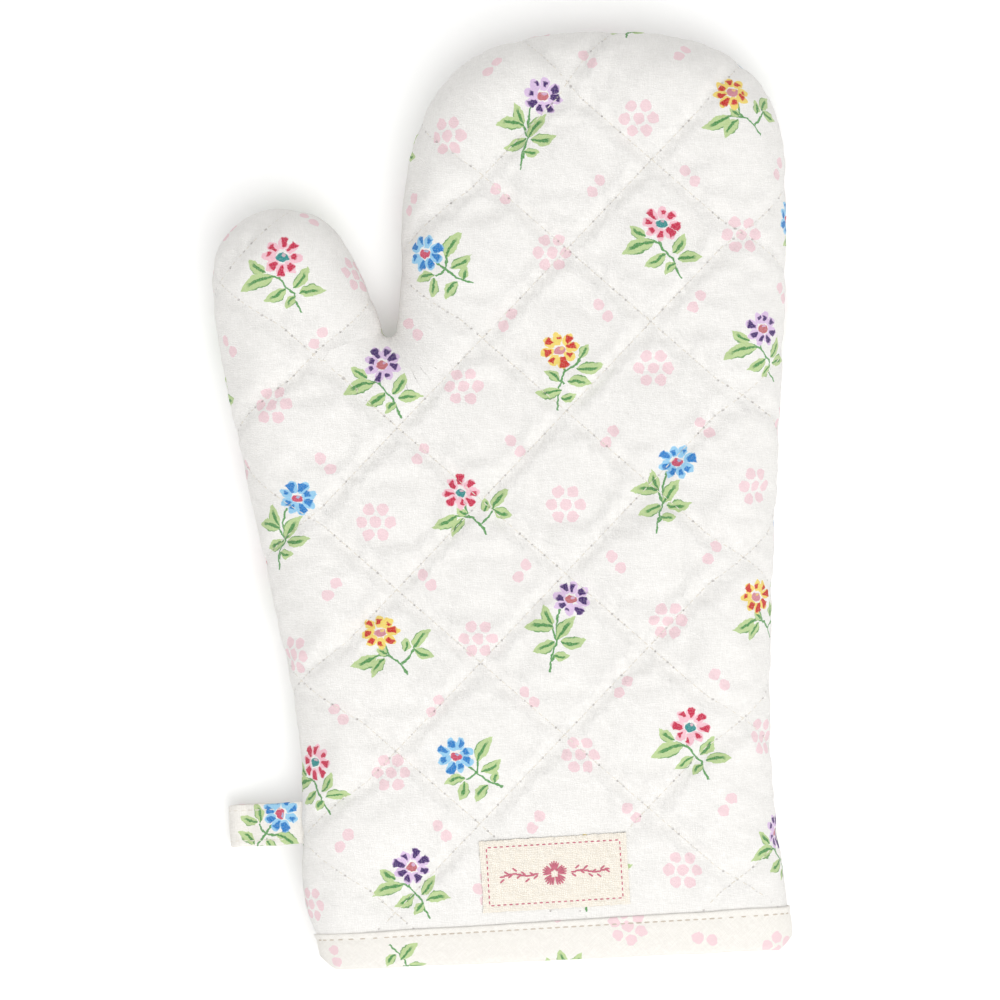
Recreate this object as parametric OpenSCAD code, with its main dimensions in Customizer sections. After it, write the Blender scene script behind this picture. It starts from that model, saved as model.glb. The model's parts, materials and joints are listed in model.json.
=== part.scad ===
// Quilted oven mitt, lying flat on its back panel.
// Two quilted panels, each of outer cloth, batting and lining, are sewn together round the
// hand, the thumb and the fingers. The cuff is bound with a folded tape, a folded strip sewn
// into the side seam is the hanging loop, and a label is sewn on above the cuff.
// X runs along the cuff, Y from the cuff to the fingertips and Z up from the surface below.

/* [Outline] */
// Width across the bound cuff
cuff_w = 150; // [146:1:156]
// Length from the cuff edge to the fingertips
mitt_len = 296; // [290:1:302]
// Distance from the cuff's centre line to the widest point of the finger side
finger_side = 88.5; // [86:0.5:92]
// Distance from the cuff's centre line to the widest point of the thumb side
thumb_side = 97.5; // [95:0.5:99]
// Height of the crotch between thumb and fingers above the cuff edge
crotch_y = 202.5; // [200:0.5:208]
// Radius of the thumb's round tip
thumb_r = 23; // [22.5:0.1:24]

/* [Thickness] */
// Height of the mitt over the hand, lying empty
hand_h = 32; // [30:1:36]
// Height of the mitt at the cuff edge
cuff_h = 23; // [22:1:27]
// Height of the side seam above the surface below
seam_z = 13; // [12:0.5:14]
// Distance from the side seam over which a panel rolls up to its full height
roll = 21; // [18:1:22]
// Thickness of the printed outer cloth
cloth_t = 1.2; // [0.8:0.1:1.4]
// Thickness of the batting between the cloths
batting_t = 3.8; // [3:0.1:4.2]
// Thickness of the lining cloth
lining_t = 1; // [0.8:0.1:1.2]

/* [Trim] */
// Height of the binding that covers the cuff edge
binding_w = 12.5; // [8:0.5:13]
// Thickness of the binding tape
binding_t = 0.6; // [0.5:0.1:0.8]
// Width of the hanging loop
loop_w = 13.5; // [10:0.5:16]
// Distance that the hanging loop stands out from its fold line
loop_reach = 20.6; // [19:0.2:25]
// Width of the sewn-on label
label_w = 47; // [30:1:55]
// Height of the sewn-on label
label_l = 23; // [15:1:24]

/* [Folds] */
// Height above the cuff edge where the fingers fold
finger_fold_y = 223; // [220:1:226]
// Width of the slit between two bodies at a fold
split_gap = 0.6; // [0.4:0.1:1]

/* [Hidden] */

cloth_colour = "ivory";
batting_colour = "whitesmoke";
lining_colour = "white";
thread_colour = "antiquewhite";
label_colour = "oldlace";
label_thread_colour = "indianred";

// Depths of the layers below the outer surface
batting_in = cloth_t;
lining_in = batting_in + batting_t;
cavity_in = lining_in + lining_t;

// The slope of the front panel from the cuff up to full height
taper_y = 90;
taper = (hand_h - cuff_h) / taper_y;
taper_deg = atan(taper);
margin = 20;
far = 400;

// Outline of the sewn mitt: every entry is x, y and the inward normal's x and y
cuff_half = cuff_w / 2;
crotch = [-41.3, crotch_y + 1.8];
crotch_r = 2;
thumb_centre = [thumb_r - thumb_side, crotch_y + 20];
finger_top = [22, mitt_len];
finger_inner = [-35, mitt_len - 54];
widest_y = mitt_len - 46;
wrist_y = 62;
wrist_right = cuff_half - 2.5;
wrist_left = -cuff_half - 3;

function bezier(p, t) =
    let (u = 1 - t)
    u * u * u * p[0] + 3 * u * u * t * p[1] + 3 * u * t * t * p[2] + t * t * t * p[3];

function bezier_dir(p, t) =
    let (u = 1 - t, d = u * u * (p[1] - p[0]) + 2 * u * t * (p[2] - p[1]) + t * t * (p[3] - p[2]))
    d / norm(d);

function curve(p, steps) = [
    for (i = [0 : steps - 1])
        let (t = i / steps, q = bezier(p, t), d = bezier_dir(p, t))
        [q.x, q.y, -d.y, d.x]
];

// side is 1 where the cloth lies inside the circle and -1 where it lies outside
function arc(c, r, from, to, steps, side) = [
    for (i = [0 : steps])
        let (a = from + (to - from) * i / steps)
        [c.x + r * cos(a), c.y + r * sin(a), -side * cos(a), -side * sin(a)]
];

thumb_from = 26;
flank_end = thumb_centre + thumb_r * [cos(thumb_from), sin(thumb_from)];

outline = concat(
    [[cuff_half, -margin, -1, 0]],
    curve([[cuff_half, 0], [cuff_half, 28], [wrist_right - 1, 38], [wrist_right, wrist_y]], 3),
    curve([[wrist_right, wrist_y], [wrist_right + 2, 124], [finger_side - 1, widest_y - 52],
           [finger_side, widest_y]], 5),
    curve([[finger_side, widest_y], [finger_side, widest_y + 35], [finger_top.x + 43, finger_top.y],
           finger_top], 7),
    curve([finger_top, [finger_top.x - 30, finger_top.y], [finger_inner.x + 6, finger_inner.y + 44],
           finger_inner], 6),
    curve([finger_inner, finger_inner - [2, 14], [-36.5, crotch_y + 14], [-39.3, crotch_y + 2.2]], 2),
    arc(crotch, crotch_r, -10, -165, 4, -1),
    curve([[-43.3, crotch_y + 1.3], [-45, crotch_y + 10], flank_end + [5.5, -11], flank_end], 2),
    arc(thumb_centre, thumb_r, thumb_from, 180, 8, 1),
    curve([[-thumb_side, thumb_centre.y], [-thumb_side, thumb_centre.y - 34], [wrist_left - 2, 110],
           [wrist_left, 72]], 6),
    curve([[wrist_left, 72], [wrist_left, 55], [wrist_left - 2.5, 40], [wrist_left - 2, 27]], 2),
    curve([[wrist_left - 2, 27], [wrist_left - 1.5, 15], [-cuff_half, 14], [-cuff_half, 0]], 3),
    [[-cuff_half, 0, 1, 0], [-cuff_half, -margin, 1, 0]]
);

// The thumb folds about a line that starts beside the crotch and runs down to the thumb side
thumb_fold_top = [-55.8, 205];
thumb_fold_low = [-79.5, 138];
fold_dir = (thumb_fold_top - thumb_fold_low) / norm(thumb_fold_top - thumb_fold_low);
function thumb_fold_x(y) =
    thumb_fold_low.x + (y - thumb_fold_low.y) * fold_dir.x / fold_dir.y;

// Hanging loop: its fold line and the round eye at its end
loop_fold = [wrist_left - 4, 48.5, seam_z];
loop_eye_r = 4.6;
loop_ply = 1.4;
loop_root_r = 1.5;
loop_eye = [loop_fold.x - loop_reach + loop_eye_r, loop_eye_r + 0.1];

// The origin is on the surface below, under the centre of the mitt's bounding box
centre = [(finger_side + loop_fold.x - loop_reach) / 2, mitt_len / 2];

// Each family of quilting lines: direction, offset of its first line from the mitt's middle,
// spacing and number of lines
quilt_families = [[-44.5, -128.2, 39.2, 7], [43, -131.1, 35.4, 8]];
quilt_thread_w = 0.8;
quilt_thread_h = 0.4;

// Keeps a cut polyhedron as one mesh
module one_mesh() {
    resize([0, 0, 0]) children();
}

// The whole mitt as a solid, with its surface moved inwards by depth
module body(depth) {
    count = len(outline);
    angles = [90, 67.5, 45, 22.5, 0];
    lower = [for (a = angles) [a, seam_z - (seam_z - depth) * sin(a)]];
    upper = [for (i = [3 : -1 : 0]) [angles[i], seam_z + (hand_h - seam_z - depth) * sin(angles[i])]];
    rings = concat(lower, upper);
    points = [
        for (ring = rings)
            let (inset = depth + (roll - depth) * (1 - cos(ring[0])))
            for (p = outline) [p.x + p[2] * inset, p.y + p[3] * inset, ring[1]]
    ];
    walls = [
        for (k = [0 : len(rings) - 2])
            for (i = [0 : count - 1])
                let (j = (i + 1) % count, a = k * count, b = a + count)
                each [[a + i, b + i, b + j], [a + i, b + j, a + j]]
    ];
    top = len(points) - count;
    floor_face = [for (i = [0 : count - 1]) i];
    top_face = [for (i = [count - 1 : -1 : 0]) top + i];
    intersection() {
        polyhedron(points, concat(walls, [floor_face, top_face]));
        under_taper(depth);
    }
}

// Everything below the plane that slopes from the front panel's full height down to the cuff
module under_taper(depth) {
    rise = hand_h - depth;
    low_y = -2 * margin;
    rotate([90, 0, 90])
        translate([0, 0, -far / 2])
            linear_extrude(far)
                polygon([
                    [low_y, -1], [far, -1],
                    [far, rise + taper * (far - taper_y)], [low_y, rise + taper * (low_y - taper_y)]
                ]);
}

module layer(from, to) {
    difference() {
        body(from);
        body(to);
    }
}

module slab(y_from, y_to) {
    translate([-far / 2, y_from, -far / 2]) cube([far, y_to - y_from, far]);
}

module front_half() {
    translate([-far / 2, -far / 2, seam_z]) cube([far, 2 * far, far]);
}

module back_half() {
    translate([-far / 2, -far / 2, seam_z - far]) cube([far, 2 * far, far]);
}

// The three parts that the mitt folds into, as upright prisms
module prism(points) {
    translate([0, 0, -far / 2]) linear_extrude(far) polygon(points);
}

module hand_zone() {
    side = split_gap / 2 / fold_dir.y;
    lobe_y = crotch_y + 28;
    prism([
        [thumb_fold_x(binding_t) + side, binding_t], [far, binding_t],
        [far, finger_fold_y - split_gap / 2], [crotch.x, finger_fold_y - split_gap / 2],
        [crotch.x, lobe_y], [thumb_fold_x(lobe_y) + side, lobe_y]
    ]);
}

module thumb_zone() {
    side = split_gap / 2 / fold_dir.y;
    prism([
        [thumb_fold_x(binding_t) - side, binding_t], [thumb_fold_x(mitt_len) - side, mitt_len],
        [-far, mitt_len], [-far, binding_t]
    ]);
}

module finger_zone() {
    prism([
        [crotch.x, finger_fold_y + split_gap / 2], [far, finger_fold_y + split_gap / 2],
        [far, far], [crotch.x, far]
    ]);
}

// The room that the binding's outer leaf takes from the panels
module binding_room() {
    difference() {
        slab(-2 * margin, binding_w);
        body(binding_t);
    }
}

module front_outer() {
    difference() {
        intersection() {
            layer(0, batting_in);
            front_half();
        }
        binding_room();
    }
}

module back_outer() {
    difference() {
        intersection() {
            layer(0, batting_in);
            back_half();
        }
        binding_room();
    }
}

module front_inner(from, to) {
    intersection() {
        layer(from, to);
        front_half();
    }
}

module back_inner(from, to) {
    intersection() {
        layer(from, to);
        back_half();
    }
}

module in_hand() {
    one_mesh() intersection() {
        children();
        hand_zone();
    }
}

module in_thumb() {
    one_mesh() intersection() {
        children();
        thumb_zone();
    }
}

module in_fingers() {
    one_mesh() intersection() {
        children();
        finger_zone();
    }
}

// The overlocked seam allowance: a narrow ridge round the inside of the pocket
module overlock() {
    ridge_w = 3;
    ridge_h = 2;
    difference() {
        translate([0, 0, seam_z - ridge_h / 2])
            linear_extrude(ridge_h) polygon(inset_loop(cavity_in));
        translate([0, 0, seam_z - ridge_h])
            linear_extrude(2 * ridge_h) polygon(inset_loop(cavity_in + ridge_w));
    }
}

function inset_loop(depth) = [for (p = outline) [p.x + p[2] * depth, p.y + p[3] * depth]];

// The quilting stitches: a lattice of straight lines in plan, cut out of a thin layer that
// stands out of the front panel by one thread
module quilt_lattice() {
    reach = 340;
    for (family = quilt_families)
        rotate(family[0])
            for (i = [0 : family[3] - 1])
                translate([-reach / 2, family[1] + i * family[2] - quilt_thread_w / 2])
                    square([reach, quilt_thread_w]);
}

module quilting() {
    intersection() {
        layer(-quilt_thread_h, quilt_thread_h);
        front_half();
        linear_extrude(far)
            difference() {
                intersection() {
                    translate([0, mitt_len / 2]) quilt_lattice();
                    polygon(inset_loop(3));
                }
                translate([-far / 2, -far]) square([far, far + binding_w]);
                label_footprint();
            }
    }
}

// Places its children on the sloping front of the cuff, at height y above the cuff edge
module on_cuff_front(y) {
    translate([0, y, cuff_h + taper * y]) rotate([taper_deg, 0, 0]) children();
}

label_centre = [0.8, 28];

module label_footprint() {
    clear = 0.5;
    translate([label_centre.x - label_w / 2 - clear, label_centre.y - label_l / 2 - clear])
        square([label_w + 2 * clear, label_l + 2 * clear]);
}

module hand_front_outer() { color(cloth_colour) in_hand() front_outer(); }
module thumb_front_outer() { color(cloth_colour) in_thumb() front_outer(); }
module finger_front_outer() { color(cloth_colour) in_fingers() front_outer(); }
module hand_back_outer() { color(cloth_colour) in_hand() back_outer(); }
module thumb_back_outer() { color(cloth_colour) in_thumb() back_outer(); }
module finger_back_outer() { color(cloth_colour) in_fingers() back_outer(); }

module hand_front_batting() { color(batting_colour) in_hand() front_inner(batting_in, lining_in); }
module thumb_front_batting() { color(batting_colour) in_thumb() front_inner(batting_in, lining_in); }
module finger_front_batting() { color(batting_colour) in_fingers() front_inner(batting_in, lining_in); }
module hand_back_batting() { color(batting_colour) in_hand() back_inner(batting_in, lining_in); }
module thumb_back_batting() { color(batting_colour) in_thumb() back_inner(batting_in, lining_in); }
module finger_back_batting() { color(batting_colour) in_fingers() back_inner(batting_in, lining_in); }

module hand_front_lining() { color(lining_colour) in_hand() front_inner(lining_in, cavity_in); }
module thumb_front_lining() { color(lining_colour) in_thumb() front_inner(lining_in, cavity_in); }
module finger_front_lining() { color(lining_colour) in_fingers() front_inner(lining_in, cavity_in); }
module hand_back_lining() { color(lining_colour) in_hand() back_inner(lining_in, cavity_in); }
module thumb_back_lining() { color(lining_colour) in_thumb() back_inner(lining_in, cavity_in); }
module finger_back_lining() { color(lining_colour) in_fingers() back_inner(lining_in, cavity_in); }

module hand_seam_overlock() {
    color(thread_colour) in_hand() difference() {
        overlock();
        slab(-far, binding_w);
    }
}
module thumb_seam_overlock() { color(thread_colour) in_thumb() overlock(); }
module finger_seam_overlock() { color(thread_colour) in_fingers() overlock(); }

module hand_quilting_thread() { color(thread_colour) in_hand() quilting(); }
module thumb_quilting_thread() { color(thread_colour) in_thumb() quilting(); }
module finger_quilting_thread() { color(thread_colour) in_fingers() quilting(); }

// A tape folded over the cuff edge, with one leaf outside and one leaf inside
module cuff_binding() {
    color(cloth_colour) one_mesh() difference() {
        intersection() {
            layer(0, cavity_in + binding_t);
            slab(0, binding_w);
        }
        intersection() {
            layer(binding_t, cavity_in);
            slab(binding_t, far);
        }
    }
}

module binding_topstitch() {
    stitch_l = 2.6;
    stitch_w = 0.6;
    stitch_h = 0.3;
    pitch = 4;
    half_count = floor((cuff_half - roll) / pitch);
    color(thread_colour)
        for (i = [-half_count : half_count])
            on_cuff_front(binding_w - 2)
                translate([i * pitch - stitch_l / 2, -stitch_w / 2, 0])
                    cube([stitch_l, stitch_w, stitch_h]);
}

// Side view of the loop: both plies meet at the fold line and part into the eye
function teardrop(eye, eye_r, root, root_r) =
    let (
        axis = eye - root,
        heading = atan2(axis.y, axis.x),
        lean = acos((root_r - eye_r) / norm(axis)),
        steps = 12
    )
    concat(
        [for (i = [0 : steps])
            let (a = heading + lean - 2 * lean * i / steps) eye + eye_r * [cos(a), sin(a)]],
        [for (i = [0 : steps])
            let (a = heading - lean - (360 - 2 * lean) * i / steps) root + root_r * [cos(a), sin(a)]]
    );

module hanging_loop() {
    root = [loop_fold.x, loop_fold.z];
    inner_root = root + (loop_eye - root) * 0.35;
    color(cloth_colour)
        translate([0, loop_fold.y + loop_w / 2, 0])
            rotate([90, 0, 0])
                linear_extrude(loop_w)
                    difference() {
                        polygon(teardrop(loop_eye, loop_eye_r, root, loop_root_r));
                        polygon(teardrop(loop_eye, loop_eye_r - loop_ply, inner_root, 0.5));
                    }
}

// The two ends of the loop's strip, caught in the side seam
module loop_sewn_ends() {
    inner_end = 9;
    outer_end = loop_fold.x + loop_root_r + split_gap / 2;
    color(cloth_colour)
        translate([outer_end, loop_fold.y - loop_w / 2, seam_z - loop_ply])
            cube([inner_end, loop_w, 2 * loop_ply]);
}

label_t = 0.8;

module label() {
    color(label_colour)
        on_cuff_front(label_centre.y)
            translate([label_centre.x - label_w / 2, -label_l / 2, 0])
                cube([label_w, label_l, label_t]);
}

// Running stitches round the label, just inside its edge
module label_stitching() {
    inset = 2.2;
    stitch_l = 2;
    stitch_w = 0.5;
    stitch_h = 0.3;
    run = [label_w - 2 * inset, label_l - 2 * inset];
    counts = [14, 6];
    color(label_thread_colour)
        on_cuff_front(label_centre.y)
            translate([label_centre.x, 0, label_t])
                for (k = [0, 1], side = [-1, 1])
                    rotate([0, 0, 90 * k])
                        for (i = [0 : counts[k] - 1])
                            translate([
                                run[k] * ((i + 0.5) / counts[k] - 0.5) - stitch_l / 2,
                                side * run[1 - k] / 2 - stitch_w / 2, 0
                            ])
                                cube([stitch_l, stitch_w, stitch_h]);
}

module placed() {
    translate([-centre.x, -centre.y, 0]) children();
}

placed() hand_front_outer();
placed() hand_front_batting();
placed() hand_front_lining();
placed() hand_back_outer();
placed() hand_back_batting();
placed() hand_back_lining();
placed() thumb_front_outer();
placed() thumb_front_batting();
placed() thumb_front_lining();
placed() thumb_back_outer();
placed() thumb_back_batting();
placed() thumb_back_lining();
placed() finger_front_outer();
placed() finger_front_batting();
placed() finger_front_lining();
placed() finger_back_outer();
placed() finger_back_batting();
placed() finger_back_lining();
placed() hand_seam_overlock();
placed() thumb_seam_overlock();
placed() finger_seam_overlock();
placed() hand_quilting_thread();
placed() thumb_quilting_thread();
placed() finger_quilting_thread();
placed() cuff_binding();
placed() binding_topstitch();
placed() hanging_loop();
placed() loop_sewn_ends();
placed() label();
placed() label_stitching();
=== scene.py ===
"""A quilted oven mitt that lies on its back: printed cloth over batting, bound, with a loop and a label."""
import json
import math
from functools import partialmethod

import bpy
import numpy as np
from mathutils import Vector, noise
from mathutils.bvhtree import BVHTree
from mathutils.geometry import barycentric_transform, delaunay_2d_cdt
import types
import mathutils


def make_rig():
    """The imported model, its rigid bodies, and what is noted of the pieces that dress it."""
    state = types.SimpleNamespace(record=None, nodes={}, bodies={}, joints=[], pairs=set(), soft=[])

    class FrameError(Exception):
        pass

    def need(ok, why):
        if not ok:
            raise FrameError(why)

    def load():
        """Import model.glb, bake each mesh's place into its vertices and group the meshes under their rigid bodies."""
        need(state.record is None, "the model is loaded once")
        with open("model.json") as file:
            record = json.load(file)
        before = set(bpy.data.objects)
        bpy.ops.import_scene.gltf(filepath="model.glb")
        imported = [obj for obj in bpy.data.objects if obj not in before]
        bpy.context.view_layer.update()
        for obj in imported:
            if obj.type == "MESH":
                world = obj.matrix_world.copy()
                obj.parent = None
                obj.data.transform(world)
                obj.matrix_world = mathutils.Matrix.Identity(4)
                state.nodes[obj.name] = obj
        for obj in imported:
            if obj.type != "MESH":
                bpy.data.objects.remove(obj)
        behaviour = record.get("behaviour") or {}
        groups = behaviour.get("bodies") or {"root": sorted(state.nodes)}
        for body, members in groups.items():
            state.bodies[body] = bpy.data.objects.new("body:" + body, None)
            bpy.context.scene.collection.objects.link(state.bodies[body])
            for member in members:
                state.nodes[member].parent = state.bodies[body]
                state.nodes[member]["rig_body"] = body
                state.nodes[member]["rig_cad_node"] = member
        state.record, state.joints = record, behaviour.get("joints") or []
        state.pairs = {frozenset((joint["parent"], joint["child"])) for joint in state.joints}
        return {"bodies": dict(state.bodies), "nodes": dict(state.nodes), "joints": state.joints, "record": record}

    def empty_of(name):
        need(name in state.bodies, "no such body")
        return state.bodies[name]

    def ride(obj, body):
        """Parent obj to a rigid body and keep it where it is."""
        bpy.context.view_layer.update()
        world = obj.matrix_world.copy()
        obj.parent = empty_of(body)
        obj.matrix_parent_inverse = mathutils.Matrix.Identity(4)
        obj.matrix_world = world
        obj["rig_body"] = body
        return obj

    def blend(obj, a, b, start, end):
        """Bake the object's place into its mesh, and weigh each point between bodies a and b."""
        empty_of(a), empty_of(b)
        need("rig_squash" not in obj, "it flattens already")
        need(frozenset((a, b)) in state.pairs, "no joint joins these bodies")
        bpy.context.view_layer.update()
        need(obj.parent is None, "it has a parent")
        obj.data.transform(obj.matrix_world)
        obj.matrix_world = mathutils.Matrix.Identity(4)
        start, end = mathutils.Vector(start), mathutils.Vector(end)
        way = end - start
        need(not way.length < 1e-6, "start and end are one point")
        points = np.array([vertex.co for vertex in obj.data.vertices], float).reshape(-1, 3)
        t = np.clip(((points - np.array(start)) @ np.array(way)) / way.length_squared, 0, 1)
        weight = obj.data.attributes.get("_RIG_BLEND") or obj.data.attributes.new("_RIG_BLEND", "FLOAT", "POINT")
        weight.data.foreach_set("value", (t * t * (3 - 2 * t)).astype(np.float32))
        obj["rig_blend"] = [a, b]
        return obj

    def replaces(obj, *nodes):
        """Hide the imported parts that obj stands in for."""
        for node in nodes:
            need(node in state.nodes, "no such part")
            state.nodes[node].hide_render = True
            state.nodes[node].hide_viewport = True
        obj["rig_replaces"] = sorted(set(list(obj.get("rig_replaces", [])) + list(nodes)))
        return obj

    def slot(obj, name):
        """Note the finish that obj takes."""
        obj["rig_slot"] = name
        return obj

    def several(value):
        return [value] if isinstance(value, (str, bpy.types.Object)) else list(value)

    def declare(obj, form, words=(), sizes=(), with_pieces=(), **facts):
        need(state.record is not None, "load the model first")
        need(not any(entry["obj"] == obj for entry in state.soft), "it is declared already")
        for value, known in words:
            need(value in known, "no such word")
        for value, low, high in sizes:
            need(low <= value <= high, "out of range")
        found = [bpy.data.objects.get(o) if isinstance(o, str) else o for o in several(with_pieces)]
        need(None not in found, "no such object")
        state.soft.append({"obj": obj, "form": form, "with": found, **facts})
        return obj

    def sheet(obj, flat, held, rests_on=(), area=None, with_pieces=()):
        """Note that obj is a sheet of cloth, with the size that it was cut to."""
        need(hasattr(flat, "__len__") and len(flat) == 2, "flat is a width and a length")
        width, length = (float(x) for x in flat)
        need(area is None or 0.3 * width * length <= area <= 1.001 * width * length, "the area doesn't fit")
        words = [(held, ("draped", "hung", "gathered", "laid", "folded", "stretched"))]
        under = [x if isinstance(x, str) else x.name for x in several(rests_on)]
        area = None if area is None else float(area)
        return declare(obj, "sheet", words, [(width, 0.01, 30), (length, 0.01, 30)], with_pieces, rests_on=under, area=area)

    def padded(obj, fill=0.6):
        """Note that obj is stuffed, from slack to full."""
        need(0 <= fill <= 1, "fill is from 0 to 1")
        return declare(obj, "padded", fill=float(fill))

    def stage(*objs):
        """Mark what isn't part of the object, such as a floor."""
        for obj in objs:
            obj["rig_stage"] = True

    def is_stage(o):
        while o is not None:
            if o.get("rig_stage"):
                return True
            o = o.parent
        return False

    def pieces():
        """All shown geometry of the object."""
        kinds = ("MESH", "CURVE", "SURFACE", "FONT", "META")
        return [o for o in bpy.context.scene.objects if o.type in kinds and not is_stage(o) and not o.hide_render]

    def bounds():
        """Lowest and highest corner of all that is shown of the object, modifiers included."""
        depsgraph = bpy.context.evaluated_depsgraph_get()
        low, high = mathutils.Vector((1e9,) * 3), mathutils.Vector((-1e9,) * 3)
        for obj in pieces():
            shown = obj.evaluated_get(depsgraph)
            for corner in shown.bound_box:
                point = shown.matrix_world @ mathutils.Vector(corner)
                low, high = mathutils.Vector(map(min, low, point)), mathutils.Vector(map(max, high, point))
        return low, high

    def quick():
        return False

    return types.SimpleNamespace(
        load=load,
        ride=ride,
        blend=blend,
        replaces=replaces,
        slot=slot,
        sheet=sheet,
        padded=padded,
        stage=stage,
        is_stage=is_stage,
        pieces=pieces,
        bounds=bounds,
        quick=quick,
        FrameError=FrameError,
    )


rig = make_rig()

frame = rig.load()
CAD_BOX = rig.bounds()

# Lengths are millimetres in the mitt's own plan: x along the cuff from its centre, y from the
# cuff edge to the fingertips, z up from the floor. ORIGIN is where the frame's origin lies there.
MM = 0.001
ORIGIN = np.array([-7.05, 148.0, 0.0])
FRONT, BACK = 1, -1

# Sizes shared with the CAD model
CUFF_HALF = 75.0
MITT_LEN = 296.0
FINGER_SIDE = 88.5
THUMB_SIDE = 97.5
CROTCH = (-41.3, 204.3)
CROTCH_R = 2.0
THUMB_R = 23.0
HAND_H = 32.0
CUFF_H = 23.0
TAPER_Y = 90.0
SEAM_Z = 13.0
ROLL = 21.0
BINDING_W = 12.5
LOOP_W = 13.5
LOOP_Y = 48.5
LABEL_CENTRE = (0.8, 28.0)
LABEL_SIZE = (47.0, 23.0)

# Quilting lines: direction in degrees, offset of the first line, spacing and count
QUILT_FAMILIES = ((-44.5, -128.2, 39.2, 7), (43.0, -131.1, 35.4, 8))
QUILT_CENTRE = np.array([0.0, 148.0])
QUILT_REACH = 175.0
STITCH_PITCH = 2.6
LOOP_PITCH = 2.5
SEWN_FROM = BINDING_W + 1.5
SEEN_INSIDE = 130.0
TOPSTITCH_Y = BINDING_W - 2.2
TAPE_TOP_INSIDE = BINDING_W - 1.5

# Depth of each layer's two faces below the outer surface, with its material slot and CAD name
LAYERS = {
    "cloth": (0.0, 0.6, "printed_cloth", "outer"),
    "batting": (0.75, 4.9, "batting", "batting"),
    "lining": (5.1, 5.7, "lining", "lining"),
}
LINING_DEPTH = LAYERS["lining"][1]

# Rings of the binding's tape, its stitches, and points of the seam that cross the cuff on each side
TAPE_RINGS, TOPSTITCHES, CUFF_POINTS = 240, 116, 60

# The line where each layer's finger piece meets its palm piece
SPLIT_X = CROTCH[0]
SPLIT_Y = 203.0

# Flat sizes of the binding's tape, the loop's strip and the label, in metres
TAPE_FLAT = (0.024, 0.32)
LOOP_FLAT = (0.0135, 0.07)
LABEL_FLAT = (0.047, 0.023)

# Mesh of a panel: size of its triangles, and rings of vertices inside the seam
SPACING = 2.3
RINGS = (0.5, 1.2, 2.2, 3.6, 5.4)
SPLIT_INSET = 7.4

# Shape of the quilt: how far it swells, how deep thread and seam draw it in and how wide that is
PUFF = 1.8
QUILT_DENT, QUILT_DENT_W = 1.5, 2.6
SEAM_DENT, SEAM_DENT_W = 1.2, 0.8
CREASE, CREASE_W, CREASE_LEAN = 0.5, 2.6, math.radians(-157)
LINING_DENT, LINING_DENT_W = 1.1, 3.5
CORNER_R = 4.6

# Cloth simulation of the front's outer cloth, in units of a hundred millimetres
SIM_SCALE = 0.01
SIM_FRAMES = 22
SIM_REACH = 2.6
SIM_SETTINGS = {
    "quality": 6, "mass": 0.2, "air_damping": 2, "vertex_group_mass": "held",
    "tension_stiffness": 20, "compression_stiffness": 20, "shear_stiffness": 8, "bending_stiffness": 0.4,
    "use_pressure": True, "uniform_pressure_force": 1.6, "shrink_min": -0.045, "shrink_max": -0.045,
}

# The folds: start and end of each bend between two bodies
THUMB_FOLD, THUMB_ALONG, THUMB_BEND = np.array([-79.5, 138.0]), np.array([0.33348, 0.94276]), 13.5
FINGER_BEND = 40.0
LOOP_BEND = (-80.5, -86.0)


# ---- arithmetic


def smooth(x, low, high):
    """0 below low, 1 above high, and smooth between."""
    t = np.clip((np.asarray(x, float) - low) / (high - low), 0, 1)
    return t * t * (3 - 2 * t)


def bell(x, width):
    """1 at x = 0, falling to nothing about two widths away."""
    return np.exp(-(x / width) ** 2)


def unit(vectors):
    """Vectors brought to length 1: one, or one in each row."""
    return vectors / np.linalg.norm(vectors, axis=-1, keepdims=True)


def rough(x, y, z):
    """Smooth noise from -1 to 1."""
    return noise.noise(Vector((x, y, z)))


def travel(line):
    """Distance along a line to each of its points."""
    return np.concatenate([[0], np.cumsum(np.linalg.norm(np.diff(line, axis=0), axis=1))])


def bezier(p0, p1, p2, p3, steps):
    """Points along a cubic curve, without its last point."""
    t = np.arange(steps)[:, None] / steps
    u = 1 - t
    p0, p1, p2, p3 = (np.array(p, float) for p in (p0, p1, p2, p3))
    return u**3 * p0 + 3 * u * u * t * p1 + 3 * u * t * t * p2 + t**3 * p3


def arc(centre, radius, start, end, steps):
    """Points along a circular arc between two angles in degrees, without its last point."""
    a = np.radians(start + (end - start) * np.arange(steps) / steps)
    return np.array(centre) + radius * np.column_stack([np.cos(a), np.sin(a)])


# ---- plan


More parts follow.
